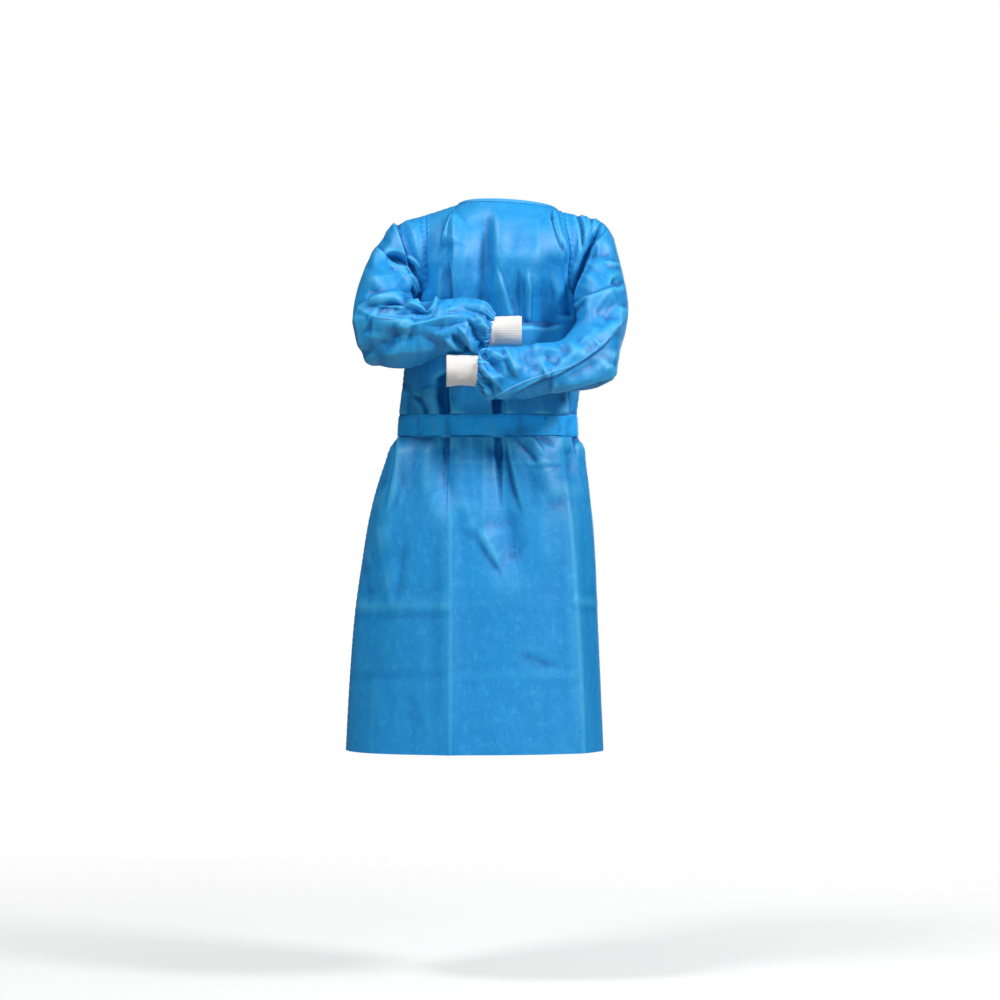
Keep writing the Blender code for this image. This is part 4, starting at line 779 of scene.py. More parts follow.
def add_piece(name, points, faces, material, values=None, sharp=60):
    """Object at the origin of points and faces in whole arrays, turned outwards. values are
    numbers kept on the points by name."""
    mesh = bpy.data.meshes.new(name)
    corners = np.concatenate([part.reshape(-1) for part in faces]).astype(np.int32)
    counts = np.concatenate([np.full(len(part), part.shape[1]) for part in faces])
    mesh.vertices.add(len(points))
    mesh.vertices.foreach_set("co", points.astype(np.float32).ravel())
    mesh.loops.add(len(corners))
    mesh.loops.foreach_set("vertex_index", corners)
    mesh.polygons.add(len(counts))
    mesh.polygons.foreach_set("loop_start", (np.cumsum(counts) - counts).astype(np.int32))
    mesh.update(calc_edges=True)
    for key, numbers in (values or {}).items():
        layer = mesh.attributes.new(key, "FLOAT", "POINT")
        layer.data.foreach_set("value", numbers.astype(np.float32).ravel())
    work = bmesh.new()
    work.from_mesh(mesh)
    bmesh.ops.recalc_face_normals(work, faces=work.faces)
    work.to_mesh(mesh)
    work.free()
    mesh.shade_smooth()
    mesh.set_sharp_from_angle(angle=np.radians(sharp))
    mesh.materials.append(material)
    piece = bpy.data.objects.new(name, mesh)
    bpy.context.scene.collection.objects.link(piece)
    return piece


def cloth_piece(name, base, out, amount, closed, material):
    """A cloth piece: its outer face stands off the base by amount, its inner face lies one thin
    wall below the lowest fold near it. fold tells ridges from troughs for the colour: painted
    highlight on the ridges and painted shade in the troughs, and painted shade on the inner face."""
    outer = base + out * amount[..., None]
    depth = lowest_near(amount, closed)[::2, ::2] - THIN
    inner = base[::2, ::2] + out[::2, ::2] * depth[..., None]
    points, faces = shell(outer, inner, closed)
    heights = np.sum((outer - blurred(outer, closed, 7)) * out, axis=-1)
    # Ridges get painted highlight and troughs painted shade from this; inner faces get painted shade
    fold = np.clip(heights / 0.0011, -1, 1)
    values = {"fold": np.concatenate((fold.ravel(), -0.4 * np.ones(depth.size)))}
    return add_piece(name, points, faces, material, values), outer


def creased(base, out, creases, turned, past, wrinkled):
    """Height of the creases and small wrinkles on the side of the gown that faces the camera, where
    turned is -1, or away from it, where turned is 1. past is how far they run round the outline."""
    x, z = seen(base)
    mask = ease((turned * out[..., 1] + past) / 0.45)
    seed, count, lean = wrinkled
    reach = (x.min(), x.max(), max(z.min(), -0.62), z.max())
    return mask * (crease_heights(creases, x, z) + wrinkles(x, z, seed, count, lean, reach))


def evened(grid, angles):
    """Softens the bend across the armpit level: rows near it move towards the mean of the 25 rows
    round them, taken twice, by ease(1 - |z - level| / 70 mm), and not at the side seams."""
    mean = grid
    for _ in range(2):
        padded = np.concatenate((np.repeat(mean[:1], 12, axis=0), mean, np.repeat(mean[-1:], 12, axis=0)))
        total = np.cumsum(np.concatenate((np.zeros_like(padded[:1]), padded)), axis=0)
        mean = (total[25:] - total[:-25]) / 25
    sides = ease(4 * np.abs(np.cos(np.radians(angles))))[None, :]
    share = ease(1 - np.abs(grid[..., 2] - ARMPIT_HEIGHT) / 0.070) * sides
    return grid + (mean - grid) * share[..., None]


def body_amount(base, out, climb, angles, creases, turned, wrinkled):
    """Height of everything on a body panel beyond the solids' form: creases that die away at the
    side seams, the belt and the neck, and the swelling beside its seams."""
    amount = creased(base, out, creases, turned, 0.08, wrinkled)
    sides = ease(9 * np.abs(np.cos(np.radians(angles))))[None, :]
    amount = amount * sides * ease(14 * (1 - climb))[:, None]
    amount = amount * ease((from_belt(base) + 0.003) / 0.006)
    return np.clip(amount, -0.022, 0.013)


def front_panel(material):
    """The front panel, with its seams at both sides, the armholes and the shoulders."""
    turns = np.linspace(0, 180, FRONT_COLUMNS + 1)
    base, climb, angles = body_form(turns, True)
    base = evened(base, angles)
    out = normals(base, False, BODY_MIDDLE)
    amount = body_amount(base, out, climb, angles, FRONT_CREASES, -1, (11, 60, 4))
    across, up = run_lengths(base, 1), run_lengths(base, 0)
    amount += seam_ridge(across, up) + seam_ridge(across[:, -1:] - across, up)
    shoulders = (turns < NECK_START) | (turns > NECK_STOP)
    amount += seam_ridge(up[-1:] - up, across) * shoulders[None, :] * ease(30 * (1 - climb))[:, None]
    return cloth_piece("gown_front", base, out, amount, False, material)


def back_panels(material):
    """The two back panels. Both carry the same creases where they overlap, and the left one stands
    off the body by 4.8 mm ease((180 - turn - 22.5 climb) / 45) to pass over the right one."""
    step = 180 / FRONT_COLUMNS
    turns = np.linspace(0, 180, FRONT_COLUMNS + 1)
    base, climb, angles = body_form(turns, False)
    base = evened(base, angles)
    out = normals(base, False, BODY_MIDDLE)
    amount = body_amount(base, out, climb, angles, BACK_CREASES, 1, (23, 60, -3))
    across, up = run_lengths(base, 1), run_lengths(base, 0)
    amount += seam_ridge(across, up) + seam_ridge(across[:, -1:] - across, up)
    shoulders = (turns < NECK_START) | (turns > NECK_STOP)
    amount += seam_ridge(up[-1:] - up, across) * shoulders[None, :] * ease(30 * (1 - climb))[:, None]
    reach = 180 - turns[None, :] - 22.5 * climb[:, None]
    lift = FLAP_LIFT * ease(reach / 45)
    over = base + out * lift[..., None]
    last = int(round((SIDE_ANGLE + OVERLAP_ANGLE) / step)) + 1
    under = slice(0, last)
    upper = slice(len(turns) - last, None)
    right = cloth_piece("gown_back_right", base[:, under], out[:, under], amount[:, under], False,
                        material)
    left = cloth_piece("gown_back_left", over[:, upper], out[:, upper], amount[:, upper], False,
                       material)
    return right, left, over + out * amount[..., None]


def sleeve_keys(side, turns):
    """Key rings of a sleeve, as the solids have them: the armhole, then ovals square to the arm."""
    rows = SLEEVE_RIGHT if side == "right" else SLEEVE_LEFT
    seam = armhole(side, turns)
    centres = np.stack((rows["x"], rows["y"], rows["z"]), axis=-1)
    reaches = np.stack((rows["reach_x"], rows["reach_y"], rows["reach_z"]), axis=-1)
    coarse = armhole(side, np.linspace(0, 360, 32, endpoint=False))
    path = np.concatenate((coarse.mean(axis=0)[None], centres))
    directions = unit(np.gradient(path, axis=0))
    directions[0] = (-1.0 if side == "right" else 1.0, 0.0, 0.0)
    directions[1] = unit(FIRST_SECTION_HOLD * directions[0] + directions[1])
    up = np.array((0.0, 0.0, 1.0))
    ahead = np.array((0.0, -1.0, 0.0))
    swing = np.radians(turns)[:, None]
    rings = [seam]
    for step in range(1, len(path)):
        direction = directions[step]
        up = unit(up - direction * np.dot(up, direction))
        ahead = unit(ahead - direction * np.dot(ahead, direction) - up * np.dot(ahead, up))
        circle = -np.cos(swing) * up + np.sin(swing) * ahead
        rings.append(centres[step - 1] + circle * reaches[step - 1])
    lengths = np.linalg.norm(np.diff(path, axis=0), axis=1)
    return np.array(rings), path, np.concatenate(([0.0], np.cumsum(lengths)))


def sleeve(side, material):
    """A sleeve: a cubic surface through its key rings, the solids' folds and gathers, then creases
    on both sides of the arm and uneven fine gathers round the wrist,
    1.5 mm cos(17a + 1.4 sin 2a) + 1.0 mm cos(29a + 2 sin 3a)."""
    turns = np.linspace(0, 360, SLEEVE_COLUMNS, endpoint=False)
    rings, path, places = sleeve_keys(side, turns)
    share = np.linspace(0, 1, SLEEVE_STEPS + 1)
    at = places[-1] * (share - 0.04 * np.sin(2 * np.pi * share))
    grid = smooth(places, rings, at)
    middle = smooth(places, path, at)[:, None, :]
    out = normals(grid, True, middle)
    facing = np.clip(-1.6 * out[..., 1], 0, 1) * ease(3 * share)[:, None]
    is_right = side == "right"
    folds = SLEEVE_RIGHT_FOLDS if is_right else SLEEVE_LEFT_FOLDS
    left_over = (places[-1] - at)[:, None]
    amount = fold_heights(folds, grid[..., 0], grid[..., 2]) * facing * ease(left_over / 0.06)
    turn = np.radians(turns)[None, :]
    near_wrist = ease(1 - left_over / 0.085)
    at_edge = ease(1 - left_over / 0.012)
    amount = amount + GATHER_DEPTH * np.cos(GATHERS * turn) * near_wrist * (1 - 0.5 * at_edge)
    base = grid + out * amount[..., None]
    out = normals(base, True, middle)
    front = SLEEVE_RIGHT_CREASES if is_right else SLEEVE_LEFT_CREASES
    back = SLEEVE_RIGHT_BACK_CREASES if is_right else SLEEVE_LEFT_BACK_CREASES
    more = creased(base, out, front, -1, 0.30, (31 if is_right else 37, 90, 20 if is_right else -20))
    more += creased(base, out, back, 1, 0.30, (41 if is_right else 43, 90, 0))
    more *= ease(14 * share)[:, None] * (0.25 + 0.75 * ease(left_over / 0.014))
    fine = 0.0015 * np.cos(17 * turn + 1.4 * np.sin(2 * turn))
    fine = fine + 0.0010 * np.cos(29 * turn + 2.0 * np.sin(3 * turn))
    more = np.clip(more, -0.021, 0.013) + fine * ease(1 - left_over / 0.045)
    more -= 0.0024 * at_edge
    away = run_lengths(base, 0)
    more += seam_ridge(away, np.broadcast_to(run_lengths(base, 1)[:1], away.shape))
    piece, outer = cloth_piece("gown_sleeve_" + side, base, out, more, True, material)
    return piece, (outer, normals(outer, True, middle)), path


def cuff(side, path, material):
    """A knitted cuff: a tube with 54 ribs, radius + 0.55 mm |cos 27a|, pinched in rings across the
    ribs, a rolled far end and a plain inner face."""
    radius = CUFF_RIGHT_RADIUS if side == "right" else CUFF_LEFT_RADIUS
    direction = unit(unit(path[-1] - path[-2]) * (1.0, 0.3, 0.0))
    keys = np.array((-CUFF_TUCK, 0.004, 0.020, 0.042, CUFF_LENGTH - CUFF_TUCK))
    swell = np.array((1.0, 0.98, 0.95, 0.97, 1.02))
    along = np.linspace(keys[0], keys[-1], CUFF_STEPS + 1)
    turn = np.linspace(0, 2 * np.pi, CUFF_COLUMNS, endpoint=False)
    level = unit(np.cross(direction, (0.0, 0.0, 1.0)))
    circle = np.cos(turn)[:, None] * level + np.sin(turn)[:, None] * np.array((0.0, 0.0, 1.0))
    rib = np.abs(np.cos(27 * turn))[None, :] - 0.6
    pinch = np.cos(along / 0.0030 + 0.6 * np.sin(5 * along / 0.02))[:, None]
    pinch = pinch * ease(1 - (along - keys[0]) / 0.040)[:, None]
    dent = np.sin(3 * turn[None, :] + along[:, None] / 0.011) + np.cos(
        5 * turn[None, :] - along[:, None] / 0.017)
    end = ease((along - keys[-1] + 0.004) / 0.004)[:, None]
    stretch = radius * smooth(keys, swell, along)[:, None]
    reach = stretch + 0.00055 * rib + 0.0006 * pinch + 0.0005 * dent - 0.0010 * end
    centres = path[-1] + along[:, None] * direction
    outer = centres[:, None, :] + reach[..., None] * circle[None]
    inner_reach = (stretch - 0.0018 + 0.0005 * dent)[::2, ::2]
    inner = centres[::2, None, :] + inner_reach[..., None] * circle[None, ::2]
    points, faces = shell(outer, inner, True)
    # fold is lighter on rib crests and darker in the grooves and pinches: painted highlight and painted shade
    fold = np.concatenate(((0.8 * rib + 0.35 * pinch).ravel(), np.zeros(inner_reach.size)))
    around = np.broadcast_to(turn / (2 * np.pi), reach.shape)
    run = np.broadcast_to((along / CUFF_LENGTH)[:, None], reach.shape)
    values = {"fold": fold,
              "around": np.concatenate((around.ravel(), around[::2, ::2].ravel())),
              "run": np.concatenate((run.ravel(), run[::2, ::2].ravel()))}
    return add_piece("gown_cuff_" + side, points, faces, material, values)


def neck_edge(front, back_right, back_left):
    """The panels' top edge round the neck, from the under flap's end round to the over flap's end,
    with the direction out of the cloth and the direction that carries on past the edge."""
    turns = np.linspace(0, 180, FRONT_COLUMNS + 1)
    first = int(np.searchsorted(turns, NECK_START))
    last = int(np.searchsorted(turns, NECK_STOP))
    flap = last - (len(turns) - back_left.shape[1])
    runs = [(back_right[-1, :first:-1], back_right[-4, :first:-1]),
            (front[-1, first:last + 1], front[-4, first:last + 1]),
            (back_left[-1, :flap][::-1], back_left[-4, :flap][::-1])]
    edge, below = (np.concatenate([run[part] for run in runs]) for part in range(2))
    along = unit(np.gradient(edge, axis=0))
    up = unit(edge - below)
    out = unit(np.cross(along, up))
    out *= np.sign(np.sum(out * (edge - edge.mean(axis=0)), axis=-1, keepdims=True))
    up = np.cross(out, along) * np.sign(np.sum(np.cross(out, along) * up, axis=-1, keepdims=True))
    return edge, unit(softened(out)), unit(softened(up))


def softened(values):
    """Values along a line, each the mean of its neighbours, eight times over."""
    for _ in range(8):
        padded = np.concatenate((values[:1], values, values[-1:]))
        values = (padded[:-2] + 2 * values + padded[2:]) / 4
    return values


def swept(edge, out, up, section):
    """A section of (rise, stand) pairs carried along an edge: edge + rise up + stand out."""
    rise, stand = section[..., 0:1], section[..., 1:2]
    return (edge[None] + rise[:, None] * up[None] + stand[:, None] * out[None])


def neck_binding(edge, out, up, material):
    """The neck binding: a tape folded over the edge, a U whose legs reach 2 mm down the panel. Its
    faces pucker with the stitches, 0.25 mm |sin(run / 1.9 mm)|."""
    top = BINDING_HEIGHT + 0.0004
    bend = np.linspace(0, np.pi, 9)
    radius = (0.0010 + WALL + 0.0008) / 2
    middle = 0.0010 - radius
    legs = np.linspace(-0.0020, top - radius, 6)
    outer_leg = np.stack((legs, np.full(6, 0.0010)), axis=-1)
    inner_leg = np.stack((legs[::-1], np.full(6, middle - radius)), axis=-1)
    arc = np.stack((top - radius + radius * np.sin(bend), middle + radius * np.cos(bend)), axis=-1)
    section = np.concatenate((outer_leg, arc[1:-1], inner_leg))
    thin = 0.0005
    inside_arc = np.stack((top - radius + (radius - thin) * np.sin(bend),
                           middle + (radius - thin) * np.cos(bend)), axis=-1)
    inside = np.concatenate((outer_leg - (0, thin), inside_arc[1:-1], inner_leg + (0, thin)))
    run = np.concatenate(([0], np.cumsum(np.linalg.norm(np.diff(edge, axis=0), axis=-1))))
    fine = np.arange(0, run[-1], BINDING_STEP)
    edge, out, up = (np.stack([np.interp(fine, run, part[:, k]) for k in range(3)], axis=-1)
                     for part in (edge, out, up))
    pucker = 0.00030 * np.abs(np.sin(fine / 0.0019)) - 0.00015
    side = np.sign(section[:, 1] - middle) * ease((top - 0.001 - section[:, 0]) / 0.002)
    outer = swept(edge, out, up, section) + (side[:, None] * pucker[None])[..., None] * out[None]
    inner = swept(edge, out, up, inside)
    points, faces = shell(outer, inner, False)
    # Painted highlight on the pucker crests and painted shade in the dips between them
    fold = np.concatenate((np.broadcast_to(np.abs(np.sin(fine / 0.0019)), outer.shape[:2]).ravel() - 0.5,
                           np.zeros(inner[..., 0].size)))
    return add_piece("gown_neck_binding", points, faces, material, {"fold": fold}), (edge, out, up)


def thread_loops(starts, ends, outs, thickness, rise):
    """Stitches as points and faces: each is a six-sided thread of nine rings from start to end that
    arches out by rise 4t(1 - t) and sinks in at both ends."""
    rings, sides = 7, 6
    t = np.linspace(0, 1, rings)
    run = ends - starts
    length = np.linalg.norm(run, axis=-1, keepdims=True)
    ahead = run / np.maximum(length, 1e-9)
    level = unit(np.cross(ahead, outs))
    lift = (rise * 4 * t * (1 - t) - 0.3 * thickness)[None, :, None]
    middle = starts[:, None] + run[:, None] * t[None, :, None] + outs[:, None] * lift
    turn = np.linspace(0, 2 * np.pi, sides, endpoint=False)
    width = thickness * np.sqrt(np.clip(1 - (2 * t - 1) ** 4, 0.10, 1))
    ring = (np.cos(turn)[None, None, :, None] * level[:, None, None]
            + np.sin(turn)[None, None, :, None] * outs[:, None, None])
    points = middle[:, :, None] + ring * width[None, :, None, None]
    count = len(starts)
    index = np.arange(rings * sides).reshape(rings, sides)
    wrapped = np.hstack((index, index[:, :1]))
    side_faces = cells(wrapped)
    caps = np.stack([np.roll(index[0][::-1], 0), index[-1]])
    offsets = (np.arange(count) * rings * sides)[:, None, None]
    sides_all = (side_faces[None] + offsets).reshape(-1, 4)
    caps_all = (caps[None] + offsets).reshape(-1, sides)
    return points.reshape(-1, 3), [sides_all, caps_all]


def joined(parts):
    """Several sets of points and faces as one."""
    points, faces, count = [], [], 0
    for found, groups in parts:
        points.append(found)
        faces += [group + count for group in groups]
        count += len(found)
    return np.concatenate(points), faces


def surface_path(base, out, closed, line, step):
    """A line given as the camera sees it, laid on the side of a grid that faces the camera. The
    nearest grid places are smoothed and read back between the grid's points."""
    run = np.concatenate(([0], np.cumsum(np.linalg.norm(np.diff(line, axis=0), axis=-1))))
    fine = np.arange(0, run[-1], step)
    wanted = np.stack([smooth(run, line[:, k], fine) for k in range(2)], axis=-1)
    x, z = seen(base)
    hidden = 10.0 * (out[..., 1] > 0.25)
    rows, columns = [], []
    for place in wanted:
        near = np.argmin((x - place[0]) ** 2 + (z - place[1]) ** 2 + hidden)
        row, column = np.unravel_index(near, x.shape)
        rows.append(row)
        columns.append(column)
    rows = np.array(rows, dtype=float)
    columns = np.array(columns, dtype=float)
    if closed:
        size = x.shape[1]
        columns = np.unwrap(columns * 2 * np.pi / size) * size / (2 * np.pi)
    window = np.hanning(11)[1:-1]
    window /= window.sum()
    rows, columns = (np.convolve(np.pad(part, 4, mode="edge"), window, mode="valid")
                     for part in (rows, columns))
    return between(base, rows, columns), unit(between(out, rows, columns))


def between(grid, rows, columns):
    """Grid values read between its points; columns run on round a closed grid."""
    low_row = np.clip(np.floor(rows).astype(int), 0, grid.shape[0] - 2)
    low_column = np.floor(columns).astype(int)
    f = (rows - low_row)[:, None]
    g = (columns - low_column)[:, None]
    size = grid.shape[1]
    a, b = low_column % size, (low_column + 1) % size
    top = grid[low_row, a] * (1 - g) + grid[low_row, b] * g
    bottom = grid[low_row + 1, a] * (1 - g) + grid[low_row + 1, b] * g
    return top * (1 - f) + bottom * f


def overlocked_seam(name, surface, out, line, material):
    """An overlocked seam: a 4 mm cord of folded cloth laid on the sleeve with slanted threads."""
    centre, up = surface_path(surface, out, True, line, 0.0012)
    ahead = unit(np.gradient(centre, axis=0))
    level = unit(np.cross(ahead, up))
    turn = np.linspace(0, 2 * np.pi, 14, endpoint=False)
    width, height = 0.0024, 0.0010
    taper = ease(np.minimum(np.arange(len(centre)), np.arange(len(centre))[::-1]) / 6)[:, None, None]
    ring = (np.cos(turn)[None, :, None] * level[:, None] * width
            + np.sin(turn)[None, :, None] * up[:, None] * height)
    cord = centre[:, None] + ring * (0.15 + 0.85 * taper)
    index = np.arange(cord[..., 0].size).reshape(cord.shape[:2])
    sides = cells(np.hstack((index, index[:, :1])))
    ends = np.stack((index[0], index[-1]))
    body = (cord.reshape(-1, 3), [sides, ends])
    picks = np.arange(3, len(centre) - 5, 2)
    starts = centre[picks] + level[picks] * width + up[picks] * 0.0002
    stops = centre[picks + 1] - level[picks + 1] * width + up[picks + 1] * 0.0002
    threads = thread_loops(starts, stops, up[picks], 0.00032, 0.0010)
    points, faces = joined((body, threads))
    count = len(body[0])
    fold = np.concatenate((np.zeros(count), np.ones(len(points) - count)))
    return add_piece(name, points, faces, material, {"fold": fold})


def belt_band(material):
    """The belt: a ring of two layers of cloth, 41 mm wide. Its edges are rounded, a pressed line
    runs 3 mm inside each, and it is lifted over the flap at the back."""
    angles = np.linspace(0, 360, 720, endpoint=False)
    ring = ring_points(np.array(BELT_ROWS), angles)
    share_keys = np.array((-0.5, -0.49, -0.46, -0.425, -0.39, -0.30, -0.20, -0.10, 0.0,
                           0.10, 0.20, 0.30, 0.39, 0.425, 0.46, 0.49, 0.5))
    level = BELT_CENTRE + BELT_WIDTH * share_keys
    share = ((level - BELT_ROWS[0]) / (BELT_ROWS[1] - BELT_ROWS[0]))[:, None, None]
    band = ring[0] + (ring[1] - ring[0]) * share
    out = normals(band, True, BODY_MIDDLE)
    turn = np.radians(angles)[None, :]
    wave = 0.0006 * np.sin(5 * turn + 0.5) + 0.0004 * np.sin(11 * turn)
    band[..., 2] += wave * np.sign(share_keys)[:, None] * (np.abs(share_keys) > 0.3)[:, None]
    rising = ease((angles - SIDE_ANGLE) / 45)
    falling = 1 - ease((angles - 180 - OVERLAP_ANGLE) / 30)
    lift = BELT_GAP + (FLAP_LIFT * rising * falling)[None, :]
    edge = np.abs(share_keys)[:, None]
    pressed = -0.0004 * np.exp(-((edge - 0.425) / 0.012) ** 2)
    rounded = -0.0006 * ease((edge - 0.45) / 0.05)
    x, z = seen(band)
    marks = crease_heights(BELT_CREASES, x, z) * ease((-out[..., 1] + 0.15) / 0.5)
    marks = marks + 0.25 * wrinkles(x, z, 57, 60, 60, (-0.24, 0.17, -0.475, -0.43))
    height = lift + WALL + 0.0003 + pressed + rounded + np.clip(marks, -0.0012, 0.0020)
    outer = band + out * height[..., None]
    inner = (band + out * lift[..., None])[::2, ::2]
    points, faces = shell(outer, inner, True)
    # Painted shade in the pressed lines and in crease troughs, painted highlight on crease ridges
    fold = np.clip((pressed + marks + 0 * lift) / 0.0010, -1, 1)
    values = {"fold": np.concatenate((fold.ravel(), np.zeros(inner[..., 0].size)))}
    return add_piece("gown_belt", points, faces, material, values), outer, out


def belt_marks(outer, out, material):
    """The belt's end: a dashed stitch line across it and two small weld marks beside the side."""
    rows = np.linspace(0.8, 15.2, 17)
    column = int(np.argmin(np.abs(seen(outer[8])[0] + 0.1772) + 10 * (out[8, :, 1] > 0)))
    line = between(outer, rows, np.full(17, float(column)))
    ups = unit(between(out, rows, np.full(17, float(column))))
    threads = thread_loops(line[:-1:2], line[1::2], ups[:-1:2], 0.00042, 0.0005)
    marks = []
    for away, height in ((0.0055, 4.5), (0.0100, 8.5), (0.0300, 7.0)):
        along = int(np.argmin(np.abs(seen(outer[8])[0] + 0.1772 + away) + 10 * (out[8, :, 1] > 0)))
        spots = np.array((height, height + 1.6))
        ends = between(outer, spots, np.full(2, float(along)))
        facing = unit(between(out, spots, np.full(2, float(along))))
        marks.append(thread_loops(ends[:1], ends[1:], facing[:1], 0.0009, 0.0002))
    points, faces = joined([threads] + marks)
    return add_piece("gown_belt_stitches", points, faces, material,
                     {"fold": np.full(len(points), 0.6)})


def knot(name, centre, half, material):
    """A pulled-tight knot: an egg with two lobes either side of a band that wraps its middle. Its
    radius is 1 - 0.14 sin^6 p (1 + 0.5 cos 2a) - 0.05 |cos(3a + 5p)| + 0.06 where the band lies."""
    rings, sides = 60, 108
    pole = np.linspace(0, np.pi, rings + 2)[1:-1][:, None]
    turn = np.linspace(0, 2 * np.pi, sides, endpoint=False)[None, :]
    waist = 1 - 0.14 * np.sin(pole) ** 6 * (1 + 0.5 * np.cos(2 * turn))
    pleats = -0.06 * np.abs(np.cos(2.5 * turn + 4 * np.cos(pole))) * np.sin(pole)
    band = 0.10 * ease((0.30 - np.abs(pole - np.pi / 2 + 0.22 * np.cos(turn))) / 0.06)
    reach = waist + pleats + band
    shape = np.stack((np.cos(pole) + 0 * turn, np.sin(pole) * np.cos(turn) * reach,
                      np.sin(pole) * np.sin(turn) * reach), axis=-1)
    ends = np.array(((1.0, 0.0, 0.0), (-1.0, 0.0, 0.0)))
    points = centre + np.concatenate((shape.reshape(-1, 3), ends)) * half
    index = np.arange(rings * sides).reshape(rings, sides)
    index = np.hstack((index, index[:, :1]))
    tips = [np.stack((row[:-1], row[1:], np.full(sides, rings * sides + k)), axis=-1)
            for k, row in enumerate((index[0], index[-1]))]
    # Painted shade in the hollows of the pleats and painted highlight on the raised band
    fold = np.concatenate((np.clip((pleats + 0.03) * 12 + 6 * band - 0.2, -1, 1).ravel(), (0, 0)))
    return add_piece(name, points, [cells(index)] + tips, material, {"fold": fold})


def back_depth(over, x, z):
    """How far back the over flap's face lies at places seen from behind."""
    rows = range(0, over.shape[0], 2)
    depth = np.array([np.interp(x, over[row, :, 0], over[row, :, 1]) for row in rows])
    level = np.array([np.interp(x, over[row, :, 0], over[row, :, 2]) for row in rows])
    above = np.clip(np.sum(level < z, axis=0), 1, len(level) - 1)[None]
    low, high = (np.take_along_axis(level, above + step, axis=0)[0] for step in (-1, 0))
    near, far = (np.take_along_axis(depth, above + step, axis=0)[0] for step in (-1, 0))
    share = np.clip((z - low) / (high - low), 0, 1)
    return near + (far - near) * share


def tail(name, over, start, width, length, spread, material):
    """A tape that hangs from a knot: it leaves the knot narrow and rolled, widens, then lies on the
    back with a slight wave, two layers with a pressed line inside each edge."""
    steps, across_steps = 150, 16
    along = np.linspace(0, 1, steps + 1)[:, None]
    across = np.linspace(-0.5, 0.5, across_steps + 1)[None, :]
    widening = 0.45 + 0.55 * ease(1.5 * along)
    sway = 0.0016 * np.sin(5.1 * along * (1 + 0.4 * spread / 0.03)) * ease(3 * along)
    x = start[0] + spread * along + width * widening * across + sway
    z = start[2] - length * along + 0 * across + 0.02 * width * np.cos(6 * across)
    resting = blurred(back_depth(over, x, z), False, 10) + TAIL_GAP
    y = resting + np.maximum(start[1] - resting[:1], 0) * (1 - ease(5 * along))
    edge = np.abs(across) * 2
    curl = 0.0012 * edge ** 4 * ease(4 * along) + 0.0022 * edge ** 2 * (1 - ease(3 * along))
    swell = 0.0008 * np.sin(9 * along + 3 * across)
    y = y + curl + swell * ease(3 * along)
    pressed = -0.0003 * np.exp(-((edge - 0.84) / 0.05) ** 2)
    rounded = -0.0004 * ease((edge - 0.93) / 0.07)
    inner = np.stack((x, y, z), axis=-1)
    outer = inner + np.stack((0 * x, WALL + pressed + rounded + 0 * y, 0 * x), axis=-1)
    inner = inner[::2, ::2]
    points, faces = shell(outer, inner, False)
    # Painted shade in the pressed lines, a faint painted highlight elsewhere, and a wavy lighter and darker
    # tone along the tape
    fold = np.clip((pressed + 0.0001 + 0 * y) / 0.0004 + 0.4 * np.sin(30 * along + 5 * across) * 0.3, -1, 1)
    values = {"fold": np.concatenate((fold.ravel(), np.zeros(inner[..., 0].size)))}
    return add_piece(name, points, faces, material, values)


def ties(over, belt_finish, tape_finish):
    """The knots and tails of the belt and of the neck binding, at the middle of the back."""
    plain = back_depth(over, np.array([BACK_CENTRE]), np.array([BELT_CENTRE]))[0]
    stand = BELT_GAP + WALL + 0.0004 + BELT_KNOT_HALF[1] * KNOT_THINNER
    belt_centre = np.array((BACK_CENTRE, plain + stand, BELT_CENTRE))
    neck_centre = NECK_KNOT_CENTRE + (0.0, NECK_KNOT_HALF[1] * KNOT_THINNER + 0.0004, 0.0)
    foot = neck_centre - (0.0, 0.0, NECK_KNOT_HALF[2] / 2)
    neck_centre[1] += back_depth(over, foot[:1], foot[2:])[0]
    made = {
        "belt_knot": knot("gown_belt_knot", belt_centre, BELT_KNOT_HALF, belt_finish),
        "neck_knot": knot("gown_neck_knot", neck_centre, NECK_KNOT_HALF, tape_finish),
    }
    for tie, centre, half, width, length, spread, finish in (
            ("belt", belt_centre, BELT_KNOT_HALF, BELT_TAIL_WIDTH, BELT_TAIL_LENGTH,
             BELT_TAIL_SPREAD, belt_finish),
            ("neck", neck_centre, NECK_KNOT_HALF, NECK_TAIL_WIDTH, NECK_TAIL_LENGTH,
             NECK_TAIL_SPREAD, tape_finish)):
        for side, sign in (("right", -1), ("left", 1)):
            drop = half[2] * KNOT_LOWER - 0.001
            start = centre + np.array((sign * 0.26 * width, -WALL / 2, -drop))
            made[tie + "_tail_" + side] = tail(
                "gown_%s_tail_%s" % (tie, side), over, start, width, length, sign * spread, finish)
    return made


def group(name, inputs, outputs):
    """An empty shader group with named inputs, each with its kind and value, and outputs."""
    tree = bpy.data.node_groups.new(name, "ShaderNodeTree")
    for label, kind, value in inputs:
        socket = tree.interface.new_socket(label, in_out="INPUT", socket_type="NodeSocket" + kind)
        socket.default_value = value
    for label, kind in outputs:
        tree.interface.new_socket(label, in_out="OUTPUT", socket_type="NodeSocket" + kind)
    return tree, tree.nodes.new("NodeGroupInput"), tree.nodes.new("NodeGroupOutput")


def noise(tree, place, stretch, scale, detail, roughness=0.5):
    """Noise over object coordinates stretched along each axis."""
    mapping = tree.nodes.new("ShaderNodeMapping")
    mapping.inputs["Scale"].default_value = stretch
    tree.links.new(place, mapping.inputs["Vector"])
    texture = tree.nodes.new("ShaderNodeTexNoise")
    texture.inputs["Scale"].default_value = scale
    texture.inputs["Detail"].default_value = detail
    texture.inputs["Roughness"].default_value = roughness
    tree.links.new(mapping.outputs["Vector"], texture.inputs["Vector"])
    return texture.outputs["Fac"]


